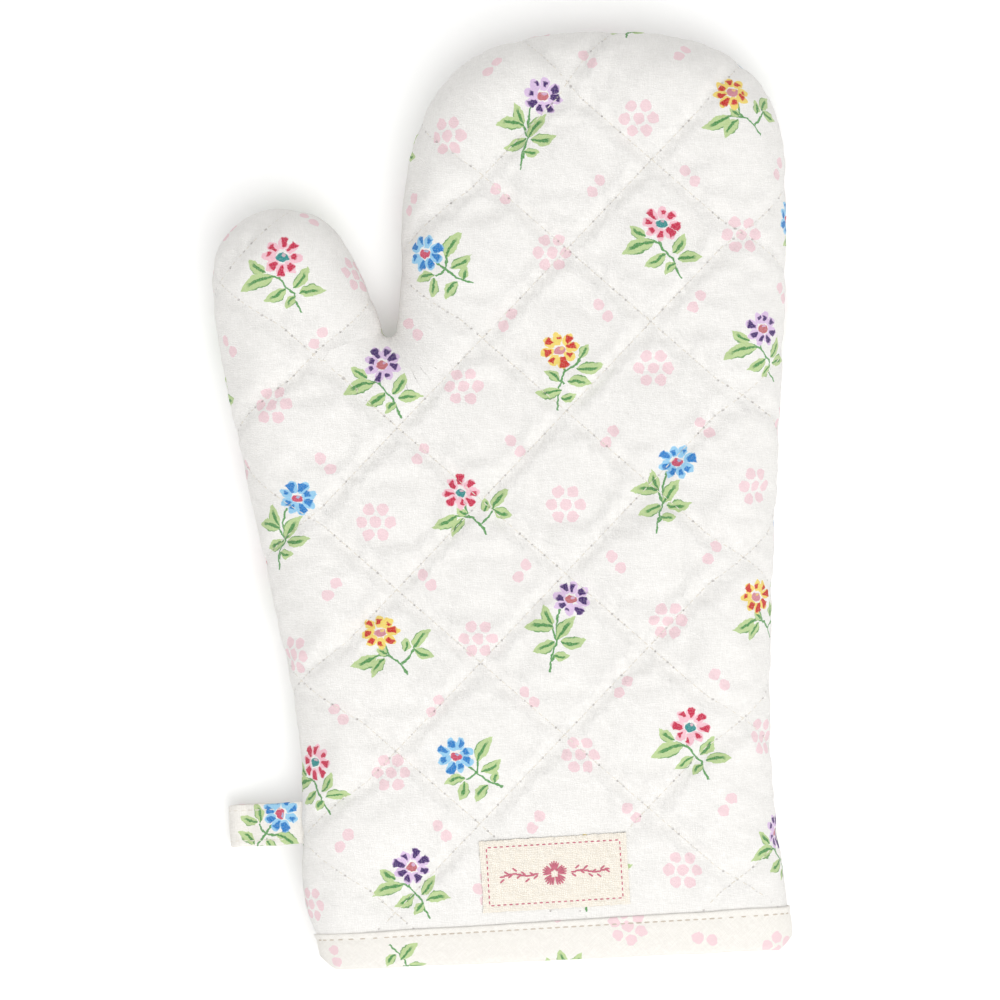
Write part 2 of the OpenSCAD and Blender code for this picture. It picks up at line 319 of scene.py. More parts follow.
def seam_line():
    """The side seam in plan, from the right end of the cuff round fingers and thumb to the left end."""
    widest = MITT_LEN - 46
    right = CUFF_HALF - 2.5
    left = -CUFF_HALF - 3
    inner = (-35, MITT_LEN - 54)
    thumb = np.array([THUMB_R - THUMB_SIDE, CROTCH[1] + 18.2])
    flank = thumb + THUMB_R * np.array([0.8988, 0.4384])
    low = CROTCH[1] - 1.8
    return np.vstack([
        bezier((CUFF_HALF, 0), (CUFF_HALF, 28), (right - 1, 38), (right, 62), 40),
        bezier((right, 62), (right + 2, 124), (FINGER_SIDE - 1, widest - 52), (FINGER_SIDE, widest), 110),
        bezier((FINGER_SIDE, widest), (FINGER_SIDE, widest + 35), (65, MITT_LEN), (22, MITT_LEN), 60),
        bezier((22, MITT_LEN), (-8, MITT_LEN), (-29, MITT_LEN - 10), inner, 60),
        bezier(inner, (-37, MITT_LEN - 68), (-36.5, low + 14), (-39.3, low + 2.2), 30),
        arc(CROTCH, CROTCH_R, -10, -165, 14),
        bezier((-43.3, low + 1.3), (-45, low + 10), flank + (5.5, -11), flank, 24),
        arc(thumb, THUMB_R, 26, 180, 50),
        bezier((-THUMB_SIDE, thumb[1]), (-THUMB_SIDE, thumb[1] - 34), (left - 2, 110), (left, 72), 90),
        bezier((left, 72), (left, 55), (left - 2.5, 40), (left - 2, 27), 30),
        bezier((left - 2, 27), (left - 1.5, 15), (-CUFF_HALF, 14), (-CUFF_HALF, 0), 24),
        [(-CUFF_HALF, 0)],
    ])


def inward_normals(line):
    """Unit normals to the left of a line, which is the inside of the mitt along its seam."""
    step = unit(np.gradient(line, axis=0))
    return np.column_stack([-step[:, 1], step[:, 0]])


SEAM = seam_line()
SEAM_IN = inward_normals(SEAM)
SEAM_IN[0], SEAM_IN[-1] = (-1, 0), (1, 0)


def to_seam(points, block=1500):
    """(distance, foot on the seam, inward direction there) for points in plan."""
    a, b = SEAM[:-1], SEAM[1:]
    ab = b - a
    length2 = (ab**2).sum(1)
    distance, foot, normal = np.empty(len(points)), np.empty((len(points), 2)), np.empty((len(points), 2))
    for i in range(0, len(points), block):
        p = points[i:i + block, None]
        t = np.clip(((p - a) * ab).sum(2) / length2, 0, 1)
        near = a + t[..., None] * ab
        d = np.linalg.norm(p - near, axis=2)
        best = d.argmin(1)
        rows = np.arange(len(best))
        distance[i:i + block] = d[rows, best]
        foot[i:i + block] = near[rows, best]
        share = t[rows, best][:, None]
        normal[i:i + block] = unit(SEAM_IN[best] * (1 - share) + SEAM_IN[best + 1] * share)
    return distance, foot, normal


def inside(points, polygon):
    """Which points lie inside a closed polygon."""
    x, y = points[:, 0], points[:, 1]
    result = np.zeros(len(points), bool)
    for (x0, y0), (x1, y1) in zip(polygon, np.roll(polygon, -1, axis=0)):
        if y0 != y1:
            crosses = (y0 > y) != (y1 > y)
            result ^= crosses & (x < (x1 - x0) * (y - y0) / (y1 - y0) + x0)
    return result


def quilt_lines():
    """(point, direction, normal) of every quilting line."""
    for angle, first, pitch, count in QUILT_FAMILIES:
        a = math.radians(angle)
        along = np.array([math.cos(a), math.sin(a)])
        across = np.array([-along[1], along[0]])
        for i in range(count):
            yield QUILT_CENTRE + across * (first + i * pitch), along, across


def to_quilting(points):
    """Distance from each point in plan to the nearest quilting line."""
    return np.min([np.abs((points - p) @ n) for p, _, n in quilt_lines()], axis=0)


def spread(line, spacing):
    """The same line with even points, closer together near the crotch."""
    steps = np.linalg.norm(np.diff(line, axis=0), axis=1)
    middle = (line[1:] + line[:-1]) / 2
    local = spacing * np.clip(np.linalg.norm(middle - CROTCH, axis=1) / 16, 0.3, 1)
    s = np.concatenate([[0], np.cumsum(steps / local)])
    t = np.linspace(0, s[-1], max(2, round(s[-1]) + 1))
    return np.column_stack([np.interp(t, s, line[:, k]) for k in (0, 1)])


def seam_parts():
    """The seam line cut at its first two crossings of the split: palm right, fingers, thumb and palm left."""
    above = SEAM[:, 1] > SPLIT_Y
    first, second = np.flatnonzero(above[1:] != above[:-1])[:2]

    def crossing(i):
        (x0, y0), (x1, y1) = SEAM[i], SEAM[i + 1]
        return [(x0 + (x1 - x0) * (SPLIT_Y - y0) / (y1 - y0), SPLIT_Y)]

    return (
        np.vstack([SEAM[:first + 1], crossing(first)]),
        np.vstack([crossing(first), SEAM[first + 1:second + 1], crossing(second)]),
        np.vstack([crossing(second), SEAM[second + 1:]]),
    )


class Panel:
    """One panel cut flat: a triangle mesh of the outline with vertices along every quilting line."""

    def __init__(self, spacing):
        parts = [spread(part, spacing) for part in seam_parts()]
        cuff = spread(np.array([[-CUFF_HALF, 0], [CUFF_HALF, 0]]), spacing)[1:-1]
        seam = np.vstack([parts[0], parts[1][1:], parts[2][1:]])
        border = np.vstack([seam, cuff])
        split = self.split_row(parts[1][-1, 0], parts[1][0, 0], spacing)
        loose = np.vstack(self.rings(seam, spacing) + self.interior(border, spacing))
        near_split = (np.abs(loose[:, 1] - SPLIT_Y) < 0.45 * spacing) & (loose[:, 0] > SPLIT_X + 1)
        points = np.vstack([border, split, loose[~near_split]])
        ends = [len(parts[0]) + len(parts[1]) - 2, len(parts[0]) - 1]
        chain = [ends[0], *range(len(border), len(border) + len(split)), ends[1]]
        edges = [(i, (i + 1) % len(border)) for i in range(len(border))] + list(zip(chain, chain[1:]))
        verts, _, faces, *_ = delaunay_2d_cdt([Vector(p) for p in points], edges, [], 1, 1e-6)
        self.flat = np.array([v[:] for v in verts], float)
        self.faces = np.array(faces)
        a, b, c = (self.flat[self.faces[:, k]] for k in range(3))
        turned = doubled_area(a, b, c) < 0
        self.faces[turned] = self.faces[turned][:, ::-1]
        centre = (a + b + c) / 3
        self.in_fingers = (centre[:, 1] > SPLIT_Y) & (centre[:, 0] > SPLIT_X)
        self.near = self.distance, self.foot, self.inward = to_seam(self.flat)
        self.quilting = to_quilting(self.flat)
        self.tree = BVHTree.FromPolygons([Vector((x, y, 0)) for x, y in self.flat], self.faces.tolist())

    @staticmethod
    def split_row(left, right, spacing):
        """Vertices along the split, closer together at the seam."""
        close = np.array(RINGS)
        count = round((right - left - 2 * SPLIT_INSET) / spacing) + 1
        middle = np.linspace(left + SPLIT_INSET, right - SPLIT_INSET, count)
        xs = np.concatenate([left + close, middle, right - close[::-1]])
        return np.column_stack([xs, np.full(len(xs), SPLIT_Y)])

    @staticmethod
    def rings(seam, spacing):
        """Rings of vertices that follow the seam, where they don't run into each other."""
        normals = to_seam(seam)[2]
        found = []
        for depth in RINGS:
            ring = seam + normals * depth
            found.append(ring[(to_seam(ring)[0] > depth - 0.02) & (ring[:, 1] > 0.4 * spacing)])
        return found

    @staticmethod
    def interior(border, spacing):
        """Vertices along the quilting lines, then a grid of even triangles between them."""
        rim = RINGS[-1] + 0.7 * spacing
        first_family = list(quilt_lines())[:QUILT_FAMILIES[0][3]]
        found = []
        for index, (p, along, _) in enumerate(quilt_lines()):
            line = p + np.arange(-QUILT_REACH, QUILT_REACH, spacing)[:, None] * along
            line = line[inside(line, border)]
            line = line[to_seam(line)[0] > rim] if len(line) else line
            line = line[line[:, 1] > 0.6 * spacing]
            if index >= len(first_family) and len(line):
                crossing = [np.abs((line - q) @ n) for q, _, n in first_family]
                line = line[np.min(crossing, axis=0) > 0.45 * spacing]
            found.append(line)
        grid = np.array([
            (x + (row % 2) * spacing / 2, y)
            for row, y in enumerate(np.arange(0, MITT_LEN, spacing * 0.866))
            for x in np.arange(-104, 94, spacing)
        ])
        grid = grid[inside(grid, border)]
        clear = (to_seam(grid)[0] > rim) & (to_quilting(grid) > 0.6 * spacing) & (grid[:, 1] > 0.7 * spacing)
        return found + [grid[clear]]

    def find(self, plan, surface):
        """The point on a surface of this panel's mesh above or below a point of the flat cloth."""
        x, y = plan
        hit, _, index, _ = self.tree.ray_cast(Vector((x, y, 1)), Vector((0, 0, -1)))
        if index is None:
            hit, _, index, _ = self.tree.find_nearest(Vector((x, y, 0)))
        flat = [Vector((*self.flat[i], 0)) for i in self.faces[index]]
        place = [Vector(surface[i]) for i in self.faces[index]]
        return np.array(barycentric_transform(Vector((hit[0], hit[1], 0)), *flat, *place))

    def surface(self, side, depth=0.0):
        """The panel rolled to its seam, at a depth below the outer cloth."""
        return lay(self.flat, side, depth, self.near)


# ---- surfaces


def doubled_area(a, b, c):
    """Twice the signed areas of triangles in plan."""
    return (b[:, 0] - a[:, 0]) * (c[:, 1] - a[:, 1]) - (b[:, 1] - a[:, 1]) * (c[:, 0] - a[:, 0])


def height(y, side):
    """How far the outer cloth of a panel lies above or below the seam, away from its rolled edge."""
    if side == BACK:
        return np.full(len(y), SEAM_Z - 0.55 * PUFF)
    taper = np.maximum(0, 1 - y / TAPER_Y)
    return HAND_H - (HAND_H - CUFF_H) * taper**1.3 - SEAM_Z - PUFF


def snug(y):
    """Share of its thickness that the quilt keeps, as the binding presses it flat."""
    return 0.5 + 0.5 * smooth(y, 2, 24)


def lay(plan, side, depth=0.0, near=None):
    """Points of a surface at a depth below the outer cloth. near is what to_seam says of the plan."""
    distance, foot, inward = near or to_seam(plan)
    angle = np.clip(distance / ROLL, 0, 1) * (math.pi / 2)
    inset = depth + (ROLL - depth) * (1 - np.cos(angle))
    rise = (height(plan[:, 1], side) - depth) * np.sin(angle)
    rolled = foot + inward * np.reshape(inset, (-1, 1))
    flat = np.where((distance < ROLL)[:, None], rolled, plan)
    return np.column_stack([flat, SEAM_Z + side * rise])


def shape_cuff(points):
    """The same points with the cuff's corners rounded and its edge a little aslant."""
    x, y, z = points.T
    a = np.clip((np.abs(x) - CUFF_HALF + CORNER_R) / CORNER_R, 0, 1.2)
    b = np.clip((CORNER_R - y) / CORNER_R, 0, 1.2)
    corner_x = -np.sign(x) * a * (1 - np.sqrt(1 - b * b / 2)) * CORNER_R
    corner_y = b * (1 - np.sqrt(1 - a * a / 2)) * CORNER_R
    lift = (0.6 - 1.3 * x / CUFF_HALF) * (1 - smooth(y, 0, BINDING_W + 2))
    return np.column_stack([x + corner_x, y + corner_y + lift, z])


def vertex_normals(points, faces):
    """Unit normals of a triangle mesh at its vertices."""
    a, b, c = (points[faces[:, k]] for k in range(3))
    n = np.cross(b - a, c - a)
    total = np.zeros_like(points)
    for k in range(3):
        np.add.at(total, faces[:, k], n)
    return total / np.maximum(np.linalg.norm(total, axis=1), 1e-9)[:, None]


def beyond_binding(plan):
    """0 under the cuff's binding, rising to 1 a little above it."""
    return smooth(plan[:, 1], BINDING_W - 1, BINDING_W + 10)


def label_press(plan):
    """1 under the label, which holds the quilt flat, fading to 0 a little outside it."""
    beyond = np.abs(plan - LABEL_CENTRE) - np.array(LABEL_SIZE) / 2
    return 1 - smooth(beyond.max(axis=1), 0, 8)


def dents(panel):
    """How deep the outer cloth is drawn in along the quilting, at the seam and by a crease at the crotch."""
    level = 0.4 + 0.6 * smooth(panel.distance, 2, 16)
    sewn = QUILT_DENT * bell(panel.quilting, QUILT_DENT_W) * beyond_binding(panel.flat) * level
    sewn *= 1 - 0.8 * label_press(panel.flat)
    rel = panel.flat - CROTCH
    along = rel @ (math.cos(CREASE_LEAN), math.sin(CREASE_LEAN))
    across = rel @ (-math.sin(CREASE_LEAN), math.cos(CREASE_LEAN))
    crease = CREASE * bell(across, CREASE_W) * smooth(along, 0, 4) * (1 - smooth(along, 5, 24))
    return sewn + SEAM_DENT * bell(panel.distance, SEAM_DENT_W) + crease


def settle(points, faces, held):
    """The points after cloth simulation has let the quilt puff out between its stitches."""
    mesh = bpy.data.meshes.new("settling")
    mesh.from_pydata((points * SIM_SCALE).tolist(), [], faces.tolist())
    obj = bpy.data.objects.new("settling", mesh)
    scene = bpy.context.scene
    scene.collection.objects.link(obj)
    obj.vertex_groups.new(name="held").add([int(i) for i in held], 1.0, "REPLACE")
    cloth = obj.modifiers.new("cloth", "CLOTH")
    cloth.point_cache.frame_start, cloth.point_cache.frame_end = 1, SIM_FRAMES
    for key, value in SIM_SETTINGS.items():
        setattr(cloth.settings, key, value)
    cloth.settings.effector_weights.gravity = 0
    for number in range(1, SIM_FRAMES + 1):
        scene.frame_set(number)
    settled = obj.evaluated_get(bpy.context.evaluated_depsgraph_get()).to_mesh()
    result = np.empty(len(points) * 3, np.float32)
    settled.vertices.foreach_get("co", result)
    scene.frame_set(1)
    bpy.data.objects.remove(obj)
    bpy.data.meshes.remove(mesh)
    return result.reshape(-1, 3).astype(float) / SIM_SCALE


def puffed(panel):
    """How far each vertex of the front's outer cloth lies from the plain rolled surface."""
    plain = panel.surface(FRONT)
    start = plain - vertex_normals(plain, panel.faces) * dents(panel)[:, None]
    free = beyond_binding(panel.flat) * (1 - 0.9 * label_press(panel.flat))
    from_crotch = np.linalg.norm(panel.flat - CROTCH, axis=1)
    free *= smooth(from_crotch, 6, 34) * (0.45 + 0.55 * smooth(panel.distance, 3, 16))
    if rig.quick():
        lift = 1.6 * smooth(panel.quilting, 0, 14) * free * smooth(panel.distance, 1, 14)
        return start + vertex_normals(start, panel.faces) * lift[:, None] - plain
    held = (panel.quilting < 0.05) | (panel.distance < 1.3) | (panel.flat[:, 1] < BINDING_W)
    moved = settle(start, panel.faces, np.flatnonzero(held)) - start
    size = np.linalg.norm(moved, axis=1)[:, None]
    return start + moved * np.minimum(1, SIM_REACH / np.maximum(size, 1e-6)) * free[:, None] - plain


# ---- meshes


def put(name, points, faces, uv=None, normals=None, plan=None):
    """A mesh object in the frame, from points in millimetres."""
    mesh = bpy.data.meshes.new(name)
    mesh.from_pydata(((points - ORIGIN) * MM).tolist(), [], [list(map(int, f)) for f in faces])
    mesh.polygons.foreach_set("use_smooth", np.ones(len(mesh.polygons), bool))
    corner = np.empty(len(mesh.loops), np.int32)
    mesh.loops.foreach_get("vertex_index", corner)
    for map_name, values in (("cloth", uv), ("plan", plan)):
        if values is not None:
            layer = mesh.uv_layers.new(name=map_name)
            layer.data.foreach_set("uv", np.asarray(values, np.float32)[corner].ravel())
    if normals is not None:
        mesh.normals_split_custom_set_from_vertices(normals.tolist())
    obj = bpy.data.objects.new(name, mesh)
    bpy.context.scene.collection.objects.link(obj)
    return obj


def shell(name, top, bottom, faces, uv, normals, plan=None):
    """A closed layer between two surfaces with the same faces, with walls along its edges."""
    used = np.unique(faces)
    number = np.full(len(top), -1)
    number[used] = np.arange(len(used))
    tri = number[faces]
    directed = np.vstack([tri[:, [0, 1]], tri[:, [1, 2]], tri[:, [2, 0]]])
    known = set(map(tuple, directed.tolist()))
    n = len(used)
    walls = [(b, a, a + n, b + n) for a, b in sorted(known) if (b, a) not in known]
    points = np.vstack([top[used], bottom[used]])
    uv = np.vstack([uv[used], uv[used]])
    normals = np.vstack([normals[used], -normals[used]])
    if plan is not None:
        plan = np.vstack([plan[used], plan[used]])
    return put(name, points, tri.tolist() + (tri[:, ::-1] + n).tolist() + walls, uv, normals, plan)


def tube_faces(count, sides, base=0, closed=False):
    """Quads between rings of vertices, which are numbered ring after ring from base."""
    faces = []
    for i in range(count if closed else count - 1):
        here, there = base + i * sides, base + (i + 1) % count * sides
        for j in range(sides):
            k = (j + 1) % sides
            faces.append((here + j, there + j, there + k, here + k))
    return faces


def swept(name, rings, uv, closed=False):
    """A surface through rings of points. uv has one more column than them, and a closing row if closed."""
    count, sides = len(rings), len(rings[0])
    faces = tube_faces(count, sides, closed=closed)
    corners = [
        spot
        for i in range(count if closed else count - 1) for j in range(sides)
        for spot in (uv[i][j], uv[i + 1][j], uv[i + 1][j + 1], uv[i][j + 1])
    ]
    if not closed:
        faces += [tuple(range(sides)), tuple((count - 1) * sides + j for j in reversed(range(sides)))]
        corners += [*uv[0][:sides], *uv[-1][:sides][::-1]]
    obj = put(name, np.vstack(rings), faces)
    layer = obj.data.uv_layers.new(name="cloth")
    layer.data.foreach_set("uv", np.asarray(corners, np.float32).ravel())
    return obj


def stitch_shape(length, width, thick):
    """Vertices and faces of one stitch: a thread that comes up out of the cloth and goes back in."""
    sides, stations = 6, (-0.92, -0.6, 0.0, 0.6, 0.92)
    points = []
    for t in stations:
        radius = 1 - abs(t) ** 5 * 0.35
        for a in 2 * math.pi * np.arange(sides) / sides:
            points.append((
                t * length / 2,
                math.cos(a) * width / 2 * radius,
                math.sin(a) * thick / 2 * radius - thick * 0.7 * abs(t) ** 3,
            ))
    points += [(-length / 2, 0, -thick), (length / 2, 0, -thick)]
    faces = tube_faces(len(stations), sides)
    start, end, last = len(points) - 2, len(points) - 1, (len(stations) - 1) * sides
    for k in range(sides):
        j = (k + 1) % sides
        faces += [(start, k, j), (end, last + j, last + k)]
    return np.array(points), faces


def stitches(name, places, size, thread, slot):
    """One object of many stitches of a length, width and thickness. Each place is (centre, direction, up)."""
    shape, faces = stitch_shape(*size)
    points, all_faces = [], []
    for centre, along, up in places:
        along = unit(along)
        across = unit(np.cross(up, along))
        base = len(points) * len(shape)
        points.append(centre + shape @ np.array([along, across, np.cross(along, across)]))
        all_faces += [tuple(base + i for i in f) for f in faces]
    return finish_piece(put(name, np.vstack(points), all_faces), thread, slot)


def sewn_along(panel, surface, side, origin, along, reach):
    """(plan, centre, direction, up) of stitches on a line, between two distances from its origin."""
    found = []
    for k in range(math.ceil(reach[0] / STITCH_PITCH), math.floor(reach[1] / STITCH_PITCH)):
        ends = [origin + along * (k + t) * STITCH_PITCH for t in (0.13, 0.87)]
        a, b = (panel.find(p, surface) for p in ends)
        middle = (ends[0] + ends[1]) / 2
        away = panel.find(middle + np.array([ends[1][1] - ends[0][1], ends[0][0] - ends[1][0]]), surface)
        centre = (a + b) / 2
        found.append((middle, centre, b - a, unit(np.cross(away - centre, b - a) * side)))
    return found


# ---- node arithmetic


class Value:
    """A number in a node tree. Arithmetic on it makes the Math nodes for it."""

    def __init__(self, tree, socket):
        self.tree, self.socket = tree, socket

    def apply(self, operation, *others):
        """The result of a Math node on this number and others."""
        made = self.tree.nodes.new("ShaderNodeMath")
        made.operation = operation
        for item, socket in zip((self, *others), made.inputs):
            wire(self.tree, item, socket)
        return Value(self.tree, made.outputs[0])

    __add__ = __radd__ = partialmethod(apply, "ADD")
    __sub__ = partialmethod(apply, "SUBTRACT")
    __mul__ = __rmul__ = partialmethod(apply, "MULTIPLY")
    __truediv__ = partialmethod(apply, "DIVIDE")
    __mod__ = partialmethod(apply, "FLOORED_MODULO")
    __abs__ = partialmethod(apply, "ABSOLUTE")
    floor = partialmethod(apply, "FLOOR")
    sin = partialmethod(apply, "SINE")
    cos = partialmethod(apply, "COSINE")
    root = partialmethod(apply, "SQRT")
    least = partialmethod(apply, "MINIMUM")
    most = partialmethod(apply, "MAXIMUM")

    def __rsub__(self, other):
        return self * -1.0 + other

    def to_nearest(self):
        """How far this number is past the nearest whole one."""
        return self - (self + 0.5).floor()

    def step(self, low, high):
        """0 below low, 1 above high, and smooth between."""
        made = self.tree.nodes.new("ShaderNodeMapRange")
        made.interpolation_type = "SMOOTHSTEP"
        for value, socket in zip((self, low, high), made.inputs):
            wire(self.tree, value, socket)
        return Value(self.tree, made.outputs[0])


def wire(tree, value, socket):
    """Sets an input from a Value, a socket or a plain value."""
    if isinstance(value, Value):
        value = value.socket
    if isinstance(value, bpy.types.NodeSocket):
        tree.links.new(value, socket)
    else:
        socket.default_value = value


def node(tree, kind, settings=None, **inputs):
    """A new node with its settings and inputs. An underscore in an input's name stands for a space."""
    made = tree.nodes.new(kind)
    for key, value in (settings or {}).items():
        setattr(made, key, value)
    for key, value in inputs.items():
        wire(tree, value, made.inputs[key.replace("_", " ")])
    return made


def split_vector(tree, vector):
    """The x, y and z of a vector as Values."""
    return [Value(tree, s) for s in node(tree, "ShaderNodeSeparateXYZ", Vector=vector).outputs]


def join_vector(tree, x, y, z=0.0):
    """A vector from its x, y and z."""
    return node(tree, "ShaderNodeCombineXYZ", X=x, Y=y, Z=z).outputs[0]


def length_of(x, y):
    """The length of a vector in the plane."""
    return (x * x + y * y).root()


def tint(tree, share, below, above):
    """A colour between two others."""
    mix = node(tree, "ShaderNodeMix", {"data_type": "RGBA"})
    wire(tree, share, mix.inputs[0])
    wire(tree, below, mix.inputs[6])
    wire(tree, above, mix.inputs[7])
    return mix.outputs[2]


def grain(tree, vector, scale, detail=2.0):
    """Smooth noise from 0 to 1. Scale is waves per unit of the vector."""
    return Value(tree, node(tree, "ShaderNodeTexNoise", Vector=vector, Scale=scale, Detail=detail).outputs[0])


def rgb(text, alpha=1.0):
    """A linear colour from a hexadecimal sRGB one."""
    parts = [int(text[i:i + 2], 16) / 255 for i in (0, 2, 4)]
    return (*[p / 12.92 if p <= 0.04045 else ((p + 0.055) / 1.055) ** 2.4 for p in parts], alpha)


def new_group(name, inputs, outputs):
    """(tree, input sockets, output sockets) of a node group, from the type of each of its sockets."""
    tree = bpy.data.node_groups.new(name, "ShaderNodeTree")
    for in_out, sockets in (("INPUT", inputs), ("OUTPUT", outputs)):
        for label, kind in sockets.items():
            tree.interface.new_socket(label, in_out=in_out, socket_type=f"NodeSocket{kind}")
    return tree, tree.nodes.new("NodeGroupInput").outputs, tree.nodes.new("NodeGroupOutput").inputs


# ---- printed pattern

# The print is a diamond lattice: a rosette at each corner, a pair of dots at the middle of each
# side, and a sprig in each diamond. LATTICE_A and LATTICE_B are a diamond's sides.
LATTICE_ORIGIN = (-18.28, 264.65)
LATTICE_A = (30.16, -39.08)
LATTICE_B = (30.48, 41.12)

# Each sprig: its head's centre, then stems and leaves, each from one point to another, in
# millimetres from the middle of its diamond
SPRIGS = {
    "upright": {
        "heads": ((3.2, 10.2),),
        "stems": (
            (-0.4, 7.1, -2.1, -2.9), (-2.1, -2.9, -5.1, -12.6), (-3.4, 1.8, -2.1, -2.9),
            (-4.3, -9.2, -3.4, -7.0),
        ),
        "leaves": (
            (-3.2, 1.4, -5.4, 8.6), (-2.9, 1.1, -12.6, 1.8), (-2.7, -2.9, -10.5, -5.7),
            (-1.4, -3.5, 7.2, -2.9), (-2.1, -2.9, 4.3, 4.5), (-3.7, -7.0, 1.6, -7.6),
        ),
    },
    "arched": {
        "heads": ((-0.2, 4.7),),
        "stems": (
            (0.9, 1.9, 2.5, -3.7), (3.7, -4.0, -1.6, -2.8), (7.4, -9.2, 3.4, -3.9),
            (5.9, -5.8, 10.0, -1.1),
        ),
        "leaves": (
            (-1.4, -2.6, -10.5, -5.7), (0.9, -3.6, -3.8, -9.7), (1.6, -2.6, -1.8, -0.4),
            (6.9, -2.4, 7.5, 2.8), (9.4, -1.1, 15.9, 4.9), (9.8, -1.2, 16.6, -3.6),
        ),
    },
    "leaning": {
        "heads": ((-10.0, 3.2),),
        "stems": (
            (-6.3, 0.3, -3.8, -2.1), (-7.2, -4.2, -3.8, -2.1), (-3.8, -2.1, 3.9, -7.2),
            (-3.8, -2.1, -3.3, 1.6),
        ),
        "leaves": (
            (-3.7, 1.2, 2.0, 9.1), (-2.5, -1.9, 4.2, 1.9), (1.3, -5.9, 2.4, -1.6),
            (-0.4, -6.0, -4.9, -12.1), (-7.5, -4.7, -9.9, -11.1), (-7.4, -3.8, -14.2, -5.4),
        ),
    },
    "spreading": {
        "heads": ((5.1, 7.6),),
        "stems": (
            (4.2, 4.6, 4.0, 1.5), (4.0, 1.5, 8.0, -3.6), (8.0, -3.6, 10.2, -9.6),
            (4.3, 0.9, 0.0, 2.9),
        ),
        "leaves": (
            (0.1, 3.6, -5.0, 7.8), (2.6, 1.9, -8.4, -1.7), (5.7, -1.7, -1.5, -5.3),
            (8.7, -4.5, 5.1, -8.4), (9.2, -3.6, 17.6, -3.6), (7.6, -2.0, 12.4, 4.6),
        ),
    },
    "swaying": {
        "heads": ((0.2, 9.1),),
        "stems": (
            (0.3, 6.2, 1.3, 2.3), (1.3, 2.3, -1.5, -10.2), (1.3, 2.3, 6.5, 6.2),
            (0.9, -1.8, -0.6, -0.5),
        ),
        "leaves": (
            (6.3, 5.8, 9.7, 10.6), (4.6, 3.2, 14.4, 3.9), (1.8, -0.8, 10.1, -2.6),
            (-0.3, -0.7, -5.2, 2.9), (0.2, -3.6, -8.9, -4.2), (-0.4, -6.6, 4.8, -5.3),
        ),
    },
}

# Stroke, petal and centre colours of the flower heads
HEADS = {
    "purple": ("3C0668", "E2C6EA", "C46A72"),
    "orange": ("CE2208", "F6DB6C", "D58896"),
    "blue": ("007CCA", "96D0F2", "CF4868"),
    "pink": ("CC1246", "F9C6D2", "1E8F8E"),
}

# Sprigs by the rows and columns of the repeat, two in each of four rows, and how far each is moved
# from the middle of its diamond
KINDS = (
    ("upright", "purple", (-3.1, -0.5)), ("arched", "orange", (-0.4, 0.1)),
    ("leaning", "blue", (0.9, 0.0)), ("spreading", "pink", (0.0, -1.7)),
    ("swaying", "orange", (0.6, 0.0)), ("spreading", "purple", (-0.3, 2.3)),
    ("arched", "pink", (-2.9, 2.0)), ("upright", "blue", (2.8, 0.0)),
)
LEAF_PALE, LEAF_DARK, STEM, ROSETTE = rgb("BDD594"), rgb("4A9046"), rgb("5A9C54"), rgb("F5D7DC")
PETALS = 8
DOT_R = 1.95
INK_EDGE = 0.22
SPRIG_REACH = 20.0

# Where on the printed cloth the loop's strip and the binding's tape were cut
LOOP_CLOTH = (-24.2, 241.4)
TAPE_CLOTH = (-48.8, 223.5)
TAPE_TILT = math.radians(139.6)


def along_stroke(x, y, ends):
    """(share of the way along, distance to the left, length) of a place beside a stroke."""
    x0, y0, x1, y1 = ends
    dx, dy = x1 - x0, y1 - y0
    px, py = x - x0, y - y0
    length = length_of(dx, dy).most(0.01)
    share = (px * dx + py * dy) / (length * length)
    return share, (py * dx - px * dy) / length, length


